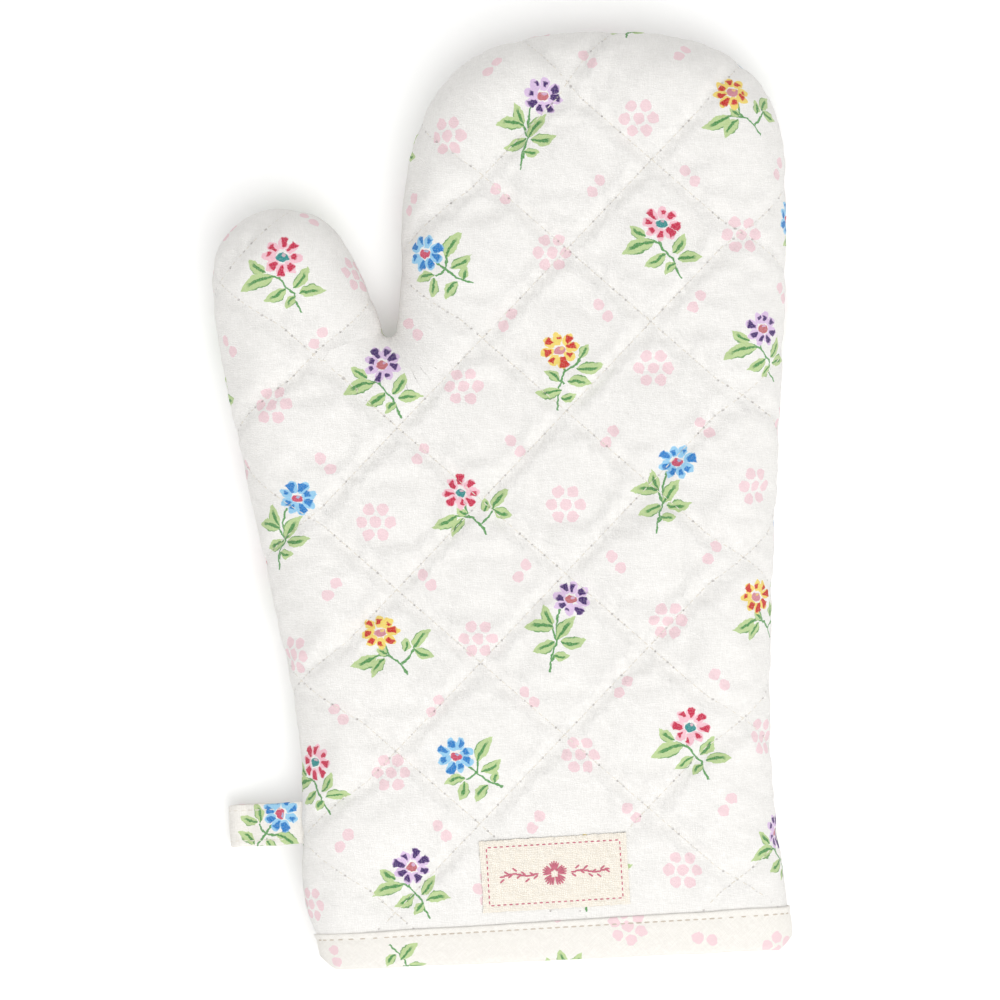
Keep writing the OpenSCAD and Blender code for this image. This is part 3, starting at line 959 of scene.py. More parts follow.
class Print:
    """The print at one place of the cloth: inks that are laid over each other."""

    def __init__(self, tree, cloth):
        self.tree = tree
        self.colour, self.ink = rgb("FFFFFF"), 0.0
        u, v, _ = split_vector(tree, cloth)
        wander = node(tree, "ShaderNodeTexNoise", Vector=cloth, Scale=0.55, Detail=2.0).outputs[1]
        wx, wy, _ = split_vector(tree, wander)
        u = u + (wx - 0.5) * 1.5 - LATTICE_ORIGIN[0]
        v = v + (wy - 0.5) * 1.5 - LATTICE_ORIGIN[1]
        (ax, ay), (bx, by) = LATTICE_A, LATTICE_B
        area = ax * by - ay * bx
        a = (u * by - v * bx) * (1 / area)
        b = (v * ax - u * ay) * (1 / area)
        self.row, self.column = a.floor(), b.floor()
        self.in_diamond = a - self.row - 0.5, b - self.column - 0.5
        self.by_corner = a.to_nearest(), b.to_nearest()
        second = (((self.row + self.column + 1.0) % 4.0) * 0.5).floor()
        self.kind = (((self.row - self.column) % 4.0) * 2.0 + second + 0.5) * (1 / len(KINDS))
        x, y = self.place(*self.in_diamond)
        moved_x, moved_y, *_ = self.pick_points([moved for *_, moved in KINDS])
        self.x, self.y = x - moved_x, y - moved_y

    def place(self, a, b, side_a=LATTICE_A, side_b=LATTICE_B):
        """Millimetres from shares of a diamond's two sides."""
        return a * side_a[0] + b * side_b[0], a * side_a[1] + b * side_b[1]

    def pick(self, values):
        """The value of the sprig's kind, from four numbers from 0 to 1 for each kind, as (colour, alpha)."""
        ramp = node(self.tree, "ShaderNodeValToRGB", Fac=self.kind)
        ramp.color_ramp.interpolation = "CONSTANT"
        elements = ramp.color_ramp.elements
        elements[0].position = 0.0
        elements.remove(elements[1])
        for i, value in enumerate(values):
            element = elements[0] if i == 0 else elements.new(i / len(values))
            element.color = value
        return ramp.outputs

    def pick_points(self, values):
        """The coordinates of the kind's stroke, in millimetres."""
        packed = [[v / (2 * SPRIG_REACH) + 0.5 for v in (*value, 0.0, 0.0)[:4]] for value in values]
        colour, alpha = self.pick(packed)
        found = (*split_vector(self.tree, colour), Value(self.tree, alpha))
        return [(v - 0.5) * (2 * SPRIG_REACH) for v in found]

    def strokes(self, part):
        """The coordinates of each stroke of a part of the sprigs."""
        for values in zip(*(SPRIGS[shape][part] for shape, *_ in KINDS)):
            yield self.pick_points(values)

    def paint(self, share, colour):
        """Lays an ink over those before."""
        self.colour = tint(self.tree, share, self.colour, colour)
        self.ink = share.most(self.ink)

    def rosettes(self):
        """At each corner of the lattice, one dot in a ring of six."""
        x, y = self.place(*self.by_corner)
        far = length_of(x, y)
        turn = (y.apply("ARCTAN2", x) * (6 / (2 * math.pi)) + 0.05).to_nearest() * (2 * math.pi / 6)
        ring = length_of(far * turn.cos() - 4.45, far * turn.sin())
        self.paint((DOT_R - ring.least(far)).step(0.0, INK_EDGE), ROSETTE)

    def dots(self):
        """At the middle of each side of a diamond, a pair of dots."""
        (ra, rb), (fa, fb) = self.by_corner, self.in_diamond
        for near, off, side, other in ((rb, fa, LATTICE_A, LATTICE_B), (ra, fb, LATTICE_B, LATTICE_A)):
            x, y = self.place(off, near, side, other)
            dx, dy = np.array(side) / math.hypot(*side)
            along, across = x * dx + y * dy, y * dx - x * dy
            dot = length_of(abs(along) - 2.25, across)
            self.paint((DOT_R - 0.03 - dot).step(0.0, INK_EDGE), ROSETTE)

    def stems(self):
        """Thin strokes that bend a little to one side."""
        for ends in self.strokes("stems"):
            share, off, length = along_stroke(self.x, self.y, ends)
            bend = share * (1.0 - share) * 0.25 * length
            between_ends = share.step(-0.03, 0.0) * (1.0 - share.step(1.0, 1.03))
            self.paint((0.45 - abs(off + bend)).step(0.0, INK_EDGE) * between_ends, STEM)

    def leaves(self):
        """Leaves that curve to either side in turn, with a darker vein and a darker lower edge."""
        for i, ends in enumerate(self.strokes("leaves")):
            share, off, length = along_stroke(self.x, self.y, ends)
            hump = share * (1.0 - share)
            bend = off + hump * length * (0.3 if i % 2 else -0.3)
            half = hump * (1.3 - share * 0.55) * (length * 0.5 + 3.6)
            body = (half - abs(bend)).step(0.0, INK_EDGE) * share.step(0.0, 0.01)
            body = body * (1.0 - share.step(0.99, 1.0))
            self.paint(body, LEAF_PALE)
            vein = (0.28 - (abs(bend + half * 0.12) - half * 0.15)).step(0.0, INK_EDGE)
            vein = vein * (1.0 - share.step(0.6, 0.78))
            lower = (abs(bend) - half * 0.7).step(0.0, 0.3) * bend.step(0.0, 0.1)
            lower = lower * (1.0 - share.step(0.6, 0.9))
            self.paint(vein.most(lower * 0.85) * body, LEAF_DARK)

    def spot(self, x, y, width, depth, softness=0.3):
        """1 inside an ellipse of two half-sizes."""
        ex, ey = x * (1 / width), y * (1 / depth)
        return (1.0 - (ex * ex + ey * ey)).step(0.0, softness)

    def heads(self):
        """Pale petals with an uneven stroke on each, round a centre."""
        stroke_ink, petal_ink, centre_ink = (
            self.pick([rgb(HEADS[name][i]) for _, name, _ in KINDS])[0] for i in range(3)
        )
        hx, hy, *_ = next(self.strokes("heads"))
        x, y = self.x - hx, self.y - hy
        far = (x * x + y * y * 1.12).root()
        turn = y.apply("ARCTAN2", x) * (PETALS / (2 * math.pi)) + self.kind * 5.0
        sector = (turn + 0.5).floor()
        side = (turn - sector) * (2 * math.pi / PETALS) * far
        seed = join_vector(self.tree, sector % float(PETALS), self.row, self.column)
        chance = node(self.tree, "ShaderNodeTexWhiteNoise", {"noise_dimensions": "3D"}, Vector=seed)
        c0, c1, c2 = split_vector(self.tree, chance.outputs[1])
        self.paint(self.spot(far - 3.7 - c0 * 0.6, side + (c2 - 0.5) * 0.6, 2.4, 1.7), petal_ink)
        inner, outer = c1 * 1.2 + 2.0, c0 * 2.2 + 4.4
        half = (far - inner) * 0.3 + (c2 * 0.5 + 0.3)
        stroke = (half - abs(side + (c1 - 0.5) * 1.3)).step(0.0, 0.3)
        self.paint(stroke * (far - inner).step(0.0, 0.3) * (outer - far).step(0.0, 0.6), stroke_ink)
        self.paint(self.spot(x, y + 0.2, 2.0, 1.45), centre_ink)
        self.paint(self.spot(x - 0.5, y - 0.5, 0.8, 0.5, 0.5) * 0.7, petal_ink)


def print_group():
    """Node group: cloth coordinates in millimetres to the printed colour and how much ink there is."""
    tree, given, results = new_group("floral print", {"Cloth": "Vector"}, {"Colour": "Color", "Ink": "Float"})
    printed = Print(tree, given[0])
    printed.rosettes()
    printed.dots()
    printed.stems()
    printed.leaves()
    printed.heads()
    # The weave shows through the ink as fine pale specks
    speck = grain(tree, given[0], 2.1, 3.0).step(0.36, 0.56) * 0.12 + 0.88
    wire(tree, printed.colour, results[0])
    wire(tree, printed.ink * speck, results[1])
    return tree


def weave_group():
    """Node group: cloth coordinates in millimetres to the height of a plain weave of uneven threads."""
    tree, given, results = new_group(
        "plain weave", {"Cloth": "Vector", "Pitch": "Float"}, {"Height": "Float", "Slub": "Float"}
    )
    u, v, _ = split_vector(tree, given[0])
    pitch = Value(tree, given[1])
    drift = grain(tree, given[0], 0.35) * 1.6
    warp, weft = (u + drift) / pitch, (v + drift) / pitch
    over = (warp.floor() + weft.floor()) % 2.0
    height = abs((warp * math.pi).sin()) * over + abs((weft * math.pi).sin()) * (1.0 - over)
    slubs = (
        grain(tree, join_vector(tree, u * 0.25, v * 2.4), 1.0).step(0.35, 0.75)
        + grain(tree, join_vector(tree, u * 2.4 + 40.0, v * 0.25), 1.0).step(0.35, 0.75)
    )
    wire(tree, height, results[0])
    wire(tree, slubs * 0.5, results[1])
    return tree


# ---- materials


def new_material(name, roughness, sheen):
    """(material, tree, shader) of a fabric."""
    material = bpy.data.materials.new(name)
    material.use_nodes = True
    shader = material.node_tree.nodes["Principled BSDF"]
    settings = {
        "Roughness": roughness, "Sheen Weight": sheen, "Sheen Roughness": 0.5, "Specular IOR Level": 0.2,
    }
    for label, value in settings.items():
        shader.inputs[label].default_value = value
    return material, material.node_tree, shader


def add_surface(tree, shader, colour, relief, depth):
    """Gives a shader its colour and a bump of a depth in metres."""
    tree.links.new(colour, shader.inputs["Base Color"])
    bump = node(tree, "ShaderNodeBump", Strength=1.0, Distance=depth, Height=relief)
    tree.links.new(bump.outputs[0], shader.inputs["Normal"])


def object_place(tree):
    """Coordinates of the object, in metres."""
    return node(tree, "ShaderNodeTexCoord").outputs["Object"]


def needle_holes(tree):
    """How much of a needle hole there is: one between each two stitches of every quilting line."""
    x, y, _ = split_vector(tree, node(tree, "ShaderNodeUVMap", {"uv_map": "plan"}).outputs[0])
    x, y = x - QUILT_CENTRE[0], y - QUILT_CENTRE[1]
    found = 0.0
    for angle, first, pitch, _ in QUILT_FAMILIES:
        c, s = math.cos(math.radians(angle)), math.sin(math.radians(angle))
        along, across = x * c + y * s, y * c - x * s
        off = ((across - first) / pitch).to_nearest() * pitch
        gap = (along / STITCH_PITCH).to_nearest() * STITCH_PITCH
        hole = (gap * gap + off * off * 1.4).root()
        found = (0.5 - hole).step(0.0, 0.4).most(found)
    return found


def cloth_material(name, base, shade, pitch, printed, bump=0.00012, holes=False):
    """A woven cloth, coordinates from its UV map in millimetres, with or without the print. The weave's dips are
    painted darker as shade, and with holes its needle holes are painted grey as shade.
    """
    material, tree, shader = new_material(name, 0.88, 0.12)
    uv = node(tree, "ShaderNodeUVMap", {"uv_map": "cloth"}).outputs[0]
    weave = node(tree, "ShaderNodeGroup", {"node_tree": WEAVE}, Cloth=uv, Pitch=pitch)
    height, slub = (Value(tree, s) for s in weave.outputs)
    fleck = grain(tree, uv, 1.1, 4.0)
    # Painted shade: the weave's low places are darker, as if in shadow between the threads; slubs and flecks vary the
    # tone at random.
    tone = (height * 0.35 + slub * 0.4 + fleck * 0.5).step(0.25, 0.95)
    colour = tint(tree, tone, rgb(shade), rgb(base))
    if printed:
        printing = node(tree, "ShaderNodeGroup", {"node_tree": PRINT}, Cloth=uv)
        inked = tint(tree, height.step(0.0, 0.9) * 0.1 + 0.9, rgb("FFFFFF"), printing.outputs[0])
        colour = tint(tree, printing.outputs[1], colour, inked)
    relief = height * 0.6 + slub * 0.5 + fleck * 0.4
    if holes:
        # Painted shade: each needle hole is painted grey as the shadow inside it, and is also pressed in by the bump.
        shaded_hole = needle_holes(tree) * grain(tree, uv, 0.45, 1.0).step(0.36, 0.66)
        colour = tint(tree, shaded_hole * 0.65, colour, rgb("BDB5B0"))
        relief = relief - shaded_hole * 3.0
    add_surface(tree, shader, colour, relief, bump)
    return material


def thread_material(name, colour, shade):
    """Twisted sewing thread: fine oblique plies, with painted shade in the grooves between them."""
    material, tree, shader = new_material(name, 0.6, 0.3)
    place = object_place(tree)
    x, y, z = split_vector(tree, place)
    plies = ((x + y * 0.7 + z * 0.4) * (2 * math.pi / 0.00042)).sin() * 0.5 + 0.5
    # Painted shade in the grooves between the plies, with grain that varies the tone at random.
    tone = plies * 0.6 + grain(tree, place, 900.0) * 0.4
    add_surface(tree, shader, tint(tree, tone, rgb(shade), rgb(colour)), plies, 0.00008)
    return material


def batting_material():
    """Soft matted fibres."""
    material, tree, shader = new_material("batting", 0.95, 0.4)
    place = object_place(tree)
    x, y, z = split_vector(tree, place)
    strands = grain(tree, join_vector(tree, x * 0.3, y, z), 900.0, 5.0)
    tone = strands * 0.5 + grain(tree, place, 160.0, 4.0) * 0.5
    add_surface(tree, shader, tint(tree, tone, rgb("DAD7CF"), rgb("FAF9F5")), tone, 0.0006)
    return material


def floor_material():
    """A pale floor with a faint mottle, lit a little from within so that it stays pale."""
    material = bpy.data.materials.new("studio_floor")
    material.use_nodes = True
    tree = material.node_tree
    shader = tree.nodes["Principled BSDF"]
    colour = tint(tree, grain(tree, object_place(tree), 3.0), rgb("F0F0EF"), rgb("F4F4F3"))
    tree.links.new(colour, shader.inputs["Base Color"])
    shader.inputs["Roughness"].default_value = 0.9
    shader.inputs["Emission Color"].default_value = (1, 1, 1, 1)
    shader.inputs["Emission Strength"].default_value = 0.16
    return material


PRINT = print_group()
WEAVE = weave_group()
PRINTED = cloth_material("printed_cotton", "FCF9F3", "F0ECE5", 0.5, True)
QUILTED = cloth_material("quilted_cotton", "FCFAF7", "EFEDE9", 0.5, True, holes=True)
LINING_CLOTH = cloth_material("lining_cotton", "FAF9F6", "EAE7E1", 0.6, False)
LABEL_CLOTH = cloth_material("label_canvas", "FFFAF0", "F7EDDC", 0.55, False, 0.0002)
BATTING_FIBRE = batting_material()
QUILT_THREAD = thread_material("quilting_thread", "FBF7EE", "DED6C8")
TOPSTITCH_THREAD = thread_material("topstitch_thread", "E2D8CA", "C2B4A4")
LABEL_THREAD = thread_material("label_thread", "DE8496", "C7657B")
LAYER_MATERIALS = {"cloth": QUILTED, "batting": BATTING_FIBRE, "lining": LINING_CLOTH}


def finish_piece(obj, material, slot):
    """Gives a piece its material and its slot in the record."""
    obj.data.materials.append(material)
    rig.slot(obj, slot)
    return obj


# ---- bending at the folds


def point(x, y, z=0.0):
    """A point of the plan as the frame's metres."""
    return tuple((np.array([x, y, z]) - ORIGIN) * MM)


def bend_thumb(obj):
    """obj follows the hand, and the thumb beyond its fold."""
    across = np.array([THUMB_ALONG[1], -THUMB_ALONG[0]]) * THUMB_BEND
    start, end = THUMB_FOLD + across, THUMB_FOLD - across
    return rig.blend(obj, "hand", "thumb", start=point(*start), end=point(*end))


def bend_fingers(obj):
    """obj follows the hand, and the fingers beyond their fold."""
    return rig.blend(obj, "hand", "fingers", start=point(0, SPLIT_Y), end=point(0, SPLIT_Y + FINGER_BEND))


def bend_loop(obj):
    """obj follows the hand where it is sewn in, and the loop outside."""
    start, end = (point(x, LOOP_Y) for x in LOOP_BEND)
    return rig.blend(obj, "hand", "loop", start=start, end=end)


def fit_part(obj, part, node_name=None):
    """Bends a palm or finger piece, in place of the CAD nodes of that name."""
    if part == "palm":
        bend_thumb(obj)
    else:
        bend_fingers(obj)
    if node_name:
        bodies = ("hand", "thumb") if part == "palm" else ("finger",)
        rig.replaces(obj, *(f"{body}_{node_name}" for body in bodies))
    return obj


# ---- quilted panels


def cloth_coordinates(panel, side):
    """Where each vertex of a panel lies on the printed cloth, rolled edges unrolled."""
    free = smooth(np.linalg.norm(panel.foot - CROTCH, axis=1), 3, 26)
    seen = ROLL * (1 - np.cos(np.clip(panel.distance / ROLL, 0, 1) * math.pi / 2))
    unrolled = panel.distance - 0.42 * (ROLL - panel.distance)
    moved = panel.foot + panel.inward * (seen + (unrolled - seen) * free)[:, None]
    flat = np.where((panel.distance < ROLL)[:, None], moved, panel.flat)
    return flat * (-1, 1) + (11.0, 23.0) if side == BACK else flat


def cut_of(uv, faces):
    """The flat size and area, in metres, of the cloth that some faces were cut from."""
    used = uv[np.unique(faces)]
    size = (used.max(axis=0) - used.min(axis=0)) * MM
    doubled = doubled_area(*(uv[faces[:, k]] for k in range(3)))
    return {"flat": tuple(size), "area": np.abs(doubled).sum() / 2 * MM**2}


def build_panel(panel, side, puff):
    """The outer cloth, batting and lining of one panel, each as a palm and a finger piece."""
    name = "front" if side == FRONT else "back"
    faces = panel.faces if side == FRONT else panel.faces[:, ::-1]
    share = snug(panel.flat[:, 1])
    uv = cloth_coordinates(panel, side)
    swell = puff if side == FRONT else puff * (0.7, 0.7, -0.5)
    drawn = LINING_DENT * bell(panel.quilting, LINING_DENT_W) * beyond_binding(panel.flat)
    pulled = vertex_normals(panel.surface(side), faces) * drawn[:, None]

    def surface(depth, moved):
        points = panel.surface(side, depth * share) + moved
        points[:, 2] = np.maximum(points[:, 2], 0.05 + 0.4 * depth)
        return shape_cuff(points)

    moves = {"cloth": (swell, swell), "batting": (swell, pulled), "lining": (pulled, pulled)}
    made, cuts, faces_of = {}, {}, {"palm": faces[~panel.in_fingers], "fingers": faces[panel.in_fingers]}
    surfaces = {}
    for layer, (upper, lower, slot, node_name) in LAYERS.items():
        top, bottom = (surface(depth, moved) for depth, moved in zip((upper, lower), moves[layer]))
        surfaces[layer] = top, bottom
        normals = vertex_normals(bottom if layer == "lining" else top, faces)
        plan = panel.flat if layer == "cloth" else None
        for part, chosen in faces_of.items():
            obj = shell(f"{name}_{layer}_{part}", top, bottom, chosen, uv, normals, plan)
            finish_piece(obj, LAYER_MATERIALS[layer], slot)
            made[layer, part] = fit_part(obj, part, f"{name}_{node_name}")
            cuts[part] = cut_of(uv, chosen)
    return surfaces["cloth"][0], surfaces["lining"][1], made, cuts


def declare_panel(made, cuts, sewn_on):
    """Says which pieces of a panel are sheets and which are padding. sewn_on are a sheet's own pieces."""
    for (layer, part), obj in made.items():
        if layer == "batting":
            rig.padded(obj, fill=0.5)
        else:
            on, own = [made["batting", part]], sewn_on.get((layer, part), ())
            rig.sheet(obj, held="stretched", rests_on=on, with_pieces=own, **cuts[part])


def by_label(plan, margin=0.5):
    """Whether a point of the front lies under the label or close beside it."""
    off = np.abs(np.asarray(plan) - LABEL_CENTRE)
    return bool((off < np.array(LABEL_SIZE) / 2 + margin).all())


def quilting(panel, surface, side, name, highest=MITT_LEN, node_name=None):
    """Running stitches along every quilting line of a surface, as a palm and a finger piece."""
    found = []
    for p, along, _ in quilt_lines():
        reach = np.arange(-QUILT_REACH, QUILT_REACH, 1.3)
        line = p + reach[:, None] * along
        keep = inside(line, SEAM)
        keep[keep] = to_seam(line[keep])[0] > 3.0
        keep &= (line[:, 1] > SEWN_FROM) & (line[:, 1] < highest)
        breaks = np.flatnonzero(np.diff(np.flatnonzero(keep)) > 1) + 1
        for run in np.split(reach[keep], breaks):
            if len(run) > 3:
                found += sewn_along(panel, surface, side, p, along, (run[0], run[-1]))
    places = {"palm": [], "fingers": []}
    for plan, *place in found:
        if not (node_name and by_label(plan)):
            places["fingers" if plan[1] > SPLIT_Y and plan[0] > SPLIT_X else "palm"].append(place)
    made = {}
    for part, sewn in places.items():
        if sewn:
            obj = stitches(f"{name}_{part}", sewn, (1.95, 0.42, 0.3), QUILT_THREAD, "thread")
            made[part] = fit_part(obj, part, node_name)
    return made


def build_overlock():
    """The overlocked edge inside the side seam, where the two linings meet."""
    sides, inset = 8, LINING_DEPTH + 1.5
    ring_shape = [(math.cos(a), math.sin(a)) for a in np.arange(sides) * math.pi / 4]
    runs = {"palm": [], "fingers": []}
    for part, line in zip(("palm", "fingers", "palm"), seam_parts()):
        line = spread(line, 0.62)
        normals = to_seam(line)[2]
        centre = line + normals * inset
        keep = centre[:, 1] > TAPE_TOP_INSIDE
        rings = []
        for i, (p, n) in enumerate(zip(centre[keep], normals[keep])):
            taper = 0.3 + 0.7 * smooth(p[1], TAPE_TOP_INSIDE, BINDING_W + 8)
            swell = (1 + 0.16 * math.sin(i * 2.1)) * taper
            ring = [(*(p + n * 1.7 * c * swell), SEAM_Z + 0.95 * s * swell) for c, s in ring_shape]
            rings.append(np.array(ring))
        runs[part].append(rings)
    made = {}
    for part, tubes in runs.items():
        points, faces, base = [], [], 0
        for rings in tubes:
            last = base + (len(rings) - 1) * sides
            points.append(np.vstack(rings))
            faces += tube_faces(len(rings), sides, base)
            faces += [tuple(base + j for j in range(sides)), tuple(last + j for j in reversed(range(sides)))]
            base = last + sides
        obj = finish_piece(put(f"overlock_{part}", np.vstack(points), faces), QUILT_THREAD, "thread")
        made[part] = fit_part(obj, part, "seam_overlock")
    return made


# ---- binding and loop


def cuff_point(turn, y, depth):
    """A point round the cuff: turn goes 0 to 1 over the front from the left seam, 1 to 2 back under it."""
    side, share = (FRONT, turn) if turn <= 1 else (BACK, 2 - turn)
    high = max(y, 0.0)
    low_seams = SEAM[:CUFF_POINTS], SEAM[::-1][:CUFF_POINTS]
    right, left = (np.interp(high, seam[:, 1], seam[:, 0]) for seam in low_seams)
    place = lay(np.array([[left + (right - left) * share, high]]), side, depth)
    place[:, 1] = y
    return shape_cuff(place)[0]


def bias_cloth(travelled, across):
    """The printed cloth's coordinates on the tape, which is cut on the bias."""
    x, y = travelled - 103.5, BINDING_W - 8.8 - across
    c, s = math.cos(TAPE_TILT), math.sin(TAPE_TILT)
    return TAPE_CLOTH[0] + x * c - y * s, TAPE_CLOTH[1] + x * s + y * c


def tape_section():
    """(y, depth) round the folded tape: down outside, up inside, and back between the two."""
    top, sewn, inner = BINDING_W, TOPSTITCH_Y, LINING_DEPTH * snug(0.0)
    outside = [
        (top, -0.12), (top + 0.05, -0.5), (top - 0.5, -0.72), (sewn + 0.6, -0.6), (sewn, -0.42),
        (sewn - 0.6, -0.6), (7.0, -0.78), (4.0, -0.8), (2.0, -0.78), (0.6, -0.66), (-0.2, -0.2), (-0.62, 0.6),
    ]
    inside_face = [
        (-0.72, inner / 2), (-0.62, inner - 0.6), (-0.2, inner + 0.2), (0.6, inner + 0.62),
        (4.0, inner + 0.7), (sewn - 0.6, inner + 0.62), (sewn, inner + 0.45), (top - 0.9, inner + 0.6),
    ]
    back_of_tape = [
        (top - 0.9, inner + 0.1), (4.0, inner + 0.15), (0.9, inner + 0.1), (0.0, inner / 2),
        (0.9, -0.12), (4.0, -0.15),
    ]
    return outside + inside_face + back_of_tape


def build_binding():
    """The folded tape over the cuff's edge, and its topstitching."""
    section = tape_section()
    even = 2 * np.arange(TAPE_RINGS) / TAPE_RINGS
    near_seams = 0.5 - 0.5 * np.cos(np.pi * (even % 1))
    rings = []
    for turn in np.floor(even) + 0.35 * (even % 1) + 0.65 * near_seams:
        c, s = math.cos(turn * math.pi), math.sin(turn * math.pi)
        ripple, fine = 0.35 * rough(c * 4, s * 4, 3.0), 0.16 * rough(c * 17, s * 17, 9.0)
        rings.append(np.array([cuff_point(turn, y + ripple, depth - fine) for y, depth in section]))
    across, gone = travel(section), travel([ring[6] for ring in rings])
    uv = [[bias_cloth(t, s) for s in (*across, across[-1] + 3)] for t in (*gone, gone[-1] + 1.2)]
    binding = finish_piece(swept("cuff_binding_tape", rings, uv, closed=True), PRINTED, "printed_cloth")

    places = []
    for turn in 2 * (np.arange(TOPSTITCHES) + 0.5) / TOPSTITCHES:
        if min(turn % 1, 1 - turn % 1) >= 0.012:
            a, b = (cuff_point(turn + t, TOPSTITCH_Y, -0.5) for t in (-0.006, 0.006))
            out = cuff_point(turn, TOPSTITCH_Y, -1.5) - cuff_point(turn, TOPSTITCH_Y, -0.5)
            places.append(((a + b) / 2, b - a, unit(out)))
    sewn = stitches("binding_stitches", places, (1.9, 0.5, 0.36), TOPSTITCH_THREAD, "thread")
    for obj, node_name in ((binding, "cuff_binding"), (sewn, "binding_topstitch")):
        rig.ride(obj, "hand")
        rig.replaces(obj, node_name)
    return binding, sewn


def loop_path():
    """The middle of the hanging loop's strip from end to end, seen from the cuff, as (x, z)."""
    eye, r = np.array([-98.0, 4.75]), 4.0
    upper = bezier((-72, 13.9), (-80, 13.9), (-88, 12.6), eye + r * np.array([0.42, 0.907]), 22)
    lower = bezier(eye + r * np.array([0.2, -0.98]), (-91, 2.2), (-82, 12.2), (-72, 12.2), 26)
    return np.vstack([upper, arc(eye, r, 65, 281, 26), lower])


def build_loop():
    """The hanging loop: a folded strip, sewn into the side seam by both ends."""
    path = loop_path()
    gone = travel(path)
    half, thick, sides = LOOP_W / 2, 0.62, 16
    rings, uv = [], []
    for (x, z), (nx, nz), s in zip(path, inward_normals(path), gone):
        wave = 0.35 * rough(s * 0.16, 2.0, 0.0)
        ring = []
        for a in 2 * math.pi * np.arange(sides) / sides:
            y = half * math.copysign(abs(math.cos(a)) ** 0.35, math.cos(a))
            pressed = 1.0 - 0.25 * smooth(abs(y), 3.2, 4.6) * smooth(-abs(y), -5.9, -4.9)
            t = thick * math.copysign(abs(math.sin(a)) ** 0.7, math.sin(a)) * pressed
            ring.append((x + nx * t, LOOP_Y + y + wave, z + nz * t))
        rings.append(np.array(ring))
        row = [(LOOP_CLOTH[0] - y + LOOP_Y, LOOP_CLOTH[1] - s) for _, y, _ in ring]
        uv.append(row + row[:1])
    loop = finish_piece(swept("hanging_loop_strip", rings, uv), PRINTED, "printed_cloth")

    places = []
    middle = np.array(rings).mean(axis=1)
    for side_y in (-4.9, 4.9):
        for t in np.arange(14, gone[-1] - 14, LOOP_PITCH):
            a, b = (np.array([np.interp(q, gone, row) for row in middle.T]) for q in (t - 0.9, t + 0.9))
            out = unit(np.array([a[2] - b[2], 0, b[0] - a[0]]))
            for face in (out, -out):
                places.append(((a + b) / 2 + face * 0.52 + (0, side_y, 0), b - a, face))
    sewn = stitches("hanging_loop_stitches", places, (1.7, 0.36, 0.26), QUILT_THREAD, "thread")
    bend_loop(loop)
    bend_loop(sewn)
    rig.replaces(loop, "hanging_loop", "loop_sewn_ends")
    return loop, sewn


# ---- label


def build_label():
    """The sewn-on label with running stitches round it and a small embroidered flower."""
    size = np.array(LABEL_SIZE)
    columns, rows = 48, 24
    shares = [(i / columns - 0.5, j / rows - 0.5) for j in range(rows + 1) for i in range(columns + 1)]
    plan = LABEL_CENTRE + size * shares
    rim = ((1 - np.abs(plan - LABEL_CENTRE) / (size / 2)) * size / 2).min(axis=1)
    ripple = np.array([rough(x * 0.12, y * 0.12, 5.0) for x, y in plan])
    frayed = np.array([rough(x * 0.9, y * 0.9, 1.0) for x, y in plan]) * (rim < 0.01) * 0.35
    sewn_down, thin_edge = 0.28 * bell(rim - 2.2, 0.8), 0.2 * (1 - smooth(rim, 0, 0.8))
    lift = 0.75 - sewn_down + 0.3 * ripple * smooth(rim, 0.5, 5) - thin_edge
    top = lay(plan, FRONT) + np.column_stack([frayed, frayed, lift])
    faces = np.array([
        face
        for j in range(rows) for a in range(j * (columns + 1), j * (columns + 1) + columns)
        for face in ((a, a + 1, a + columns + 2), (a, a + columns + 2, a + columns + 1))
    ])
    label = shell("label_patch", top, top - (0, 0, 0.55), faces, plan, vertex_normals(top, faces))
    finish_piece(label, LABEL_CLOTH, "label_cloth")

    def on_label(x, y, raised=0.0):
        spot = np.array([LABEL_CENTRE]) + (x, y)
        near = np.argmin(((plan - spot) ** 2).sum(1))
        return lay(spot, FRONT)[0] + (0, 0, lift[near] + raised)

    def embroidered(name, places, stitch):
        return stitches(name, [(*place, up) for place in places], stitch, LABEL_THREAD, "label_thread")

    up = unit(np.array([0, -0.1, 1.0]))
    border, (edge_x, edge_y) = [], size / 2 - 2.2
    corners = [(-edge_x, -edge_y), (edge_x, -edge_y), (edge_x, edge_y), (-edge_x, edge_y), (-edge_x, -edge_y)]
    for (x0, y0), (x1, y1) in zip(corners, corners[1:]):
        dx, dy = x1 - x0, y1 - y0
        count = round(math.hypot(dx, dy) / 1.95)
        for k in range(count):
            a, b = (on_label(x0 + dx * (k + t) / count, y0 + dy * (k + t) / count) for t in (0.2, 0.8))
            border.append(((a + b) / 2 + up * 0.04, b - a))
    petals = []
    for middle in range(90, 90 + 360, 72):
        for turned in (-24, -12, 0, 12, 24):
            c, s = math.cos(math.radians(middle + turned)), math.sin(math.radians(middle + turned))
            reach = (1.2 + 4.4 - abs(turned) * 0.035) / 2
            petals.append((on_label(c * reach, s * reach, 0.06), np.array([c, s, 0.0])))
    vine = []
    for side in (-1, 1):
        for k in range(9):
            x, y, beside = side * (6.0 + k * 1.35), 0.9 * math.sin(k * 0.9) * side, 1 if k % 2 else -1
            lean = math.radians(38) * beside
            leaf = np.array([math.cos(lean) * side, math.sin(lean), 0.0])
            vine.append((on_label(x, y + 0.9 * beside, 0.05), leaf))
            vine.append((on_label(x, y * 0.5, 0.03), np.array([1.0, 0.0, 0.0])))
    sewn = [
        embroidered("label_border_stitches", border, (1.35, 0.45, 0.34)),
        embroidered("label_flower", petals, (3.3, 0.6, 0.5)),
        embroidered("label_leaves", vine, (2.1, 0.6, 0.42)),
    ]
    for obj in (label, *sewn):
        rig.ride(obj, "hand")
    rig.replaces(label, "label")
    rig.replaces(sewn[0], "label_stitching")
    return label, sewn


# ---- studio


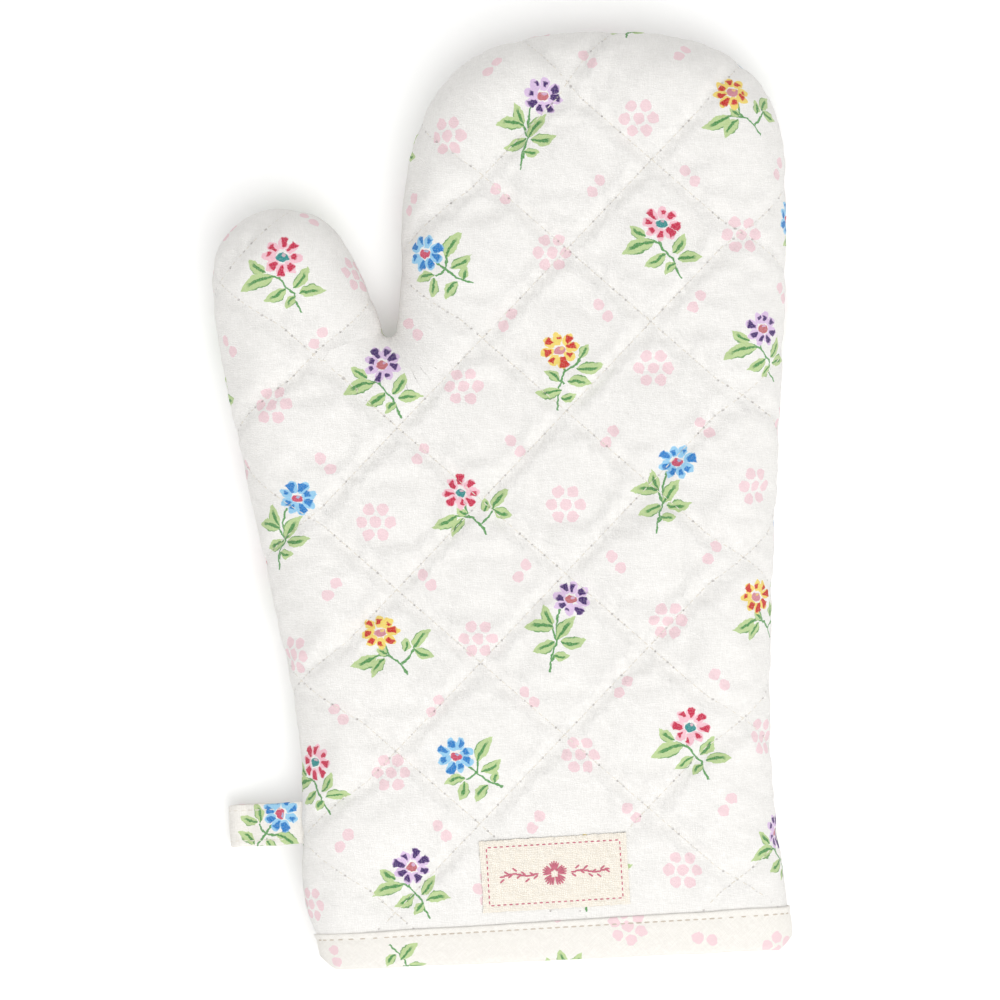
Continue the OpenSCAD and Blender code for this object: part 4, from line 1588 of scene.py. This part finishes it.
def build_studio():
    """Floor, soft lights and the camera above the mitt."""
    scene = bpy.context.scene
    floor = bpy.data.meshes.new("studio_floor")
    floor.from_pydata([(-4, -4, 0), (4, -4, 0), (4, 4, 0), (-4, 4, 0)], [], [(0, 1, 2, 3)])
    floor.materials.append(floor_material())
    obj = bpy.data.objects.new("studio_floor", floor)
    scene.collection.objects.link(obj)
    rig.stage(obj)

    world = bpy.data.worlds.new("studio")
    world.use_nodes = True
    background = world.node_tree.nodes["Background"]
    background.inputs["Color"].default_value = (1, 1, 1, 1)
    background.inputs["Strength"].default_value = 0.68
    scene.world = world
    lights = (("overhead", (0.2, -0.7, 1.9), 1.6, 17), ("key", (0.5, -1.1, 1.3), 1.0, 4))
    for name, place, size, power in lights:
        light = bpy.data.lights.new(name, "AREA")
        light.shape, light.size, light.energy = "DISK", size, power
        lamp = bpy.data.objects.new(name, light)
        lamp.location = place
        lamp.rotation_euler = (-Vector(place)).to_track_quat("-Z", "Y").to_euler()
        scene.collection.objects.link(lamp)

    camera = bpy.data.cameras.new("camera")
    above, field = 3.0, 0.3205
    camera.sensor_width = 36
    camera.lens = camera.sensor_width * above / field
    view = bpy.data.objects.new("camera", camera)
    view.location = (-0.0023, -0.00015, above + SEAM_Z * MM)
    view.rotation_euler = (0, 0, math.radians(-3.5))
    scene.collection.objects.link(view)
    scene.camera = view
    scene.view_settings.view_transform = "Standard"


# ---- the mitt

build_studio()
panel = Panel(SPACING)
puff = puffed(panel)
front_top, front_lining, front, cuts = build_panel(panel, FRONT, puff)
back_top, back_lining, back, _ = build_panel(panel, BACK, puff)
front_sewn = quilting(panel, front_top, FRONT, "front_quilting", node_name="quilting_thread")
back_sewn = quilting(panel, back_top, BACK, "back_quilting")
front_inside = quilting(panel, front_lining, BACK, "front_lining_quilting", SEEN_INSIDE)
back_inside = quilting(panel, back_lining, FRONT, "back_lining_quilting", SEEN_INSIDE)
overlock = build_overlock()
binding, binding_stitches = build_binding()
loop, loop_stitches = build_loop()
label, label_stitches = build_label()

declare_panel(front, cuts, {
    ("cloth", "palm"): [front_sewn["palm"]],
    ("cloth", "fingers"): [front_sewn["fingers"]],
    ("lining", "palm"): [front_inside["palm"]],
})
declare_panel(back, cuts, {
    ("cloth", "palm"): [back_sewn["palm"]],
    ("cloth", "fingers"): [back_sewn["fingers"]],
    ("lining", "palm"): [back_inside["palm"], overlock["palm"]],
    ("lining", "fingers"): [overlock["fingers"]],
})
hand_cloth = [front["cloth", "palm"], back["cloth", "palm"]]
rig.sheet(binding, flat=TAPE_FLAT, held="folded", rests_on=hand_cloth, with_pieces=[binding_stitches])
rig.sheet(loop, flat=LOOP_FLAT, held="folded", rests_on=["hanging_loop"], with_pieces=[loop_stitches])
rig.sheet(label, flat=LABEL_FLAT, held="laid", rests_on=hand_cloth[:1], with_pieces=label_stitches)

bpy.context.view_layer.update()
with open("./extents.json", "w") as f:
    json.dump({"cad": [list(c) for c in CAD_BOX], "visual": [list(c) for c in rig.bounds()]}, f)
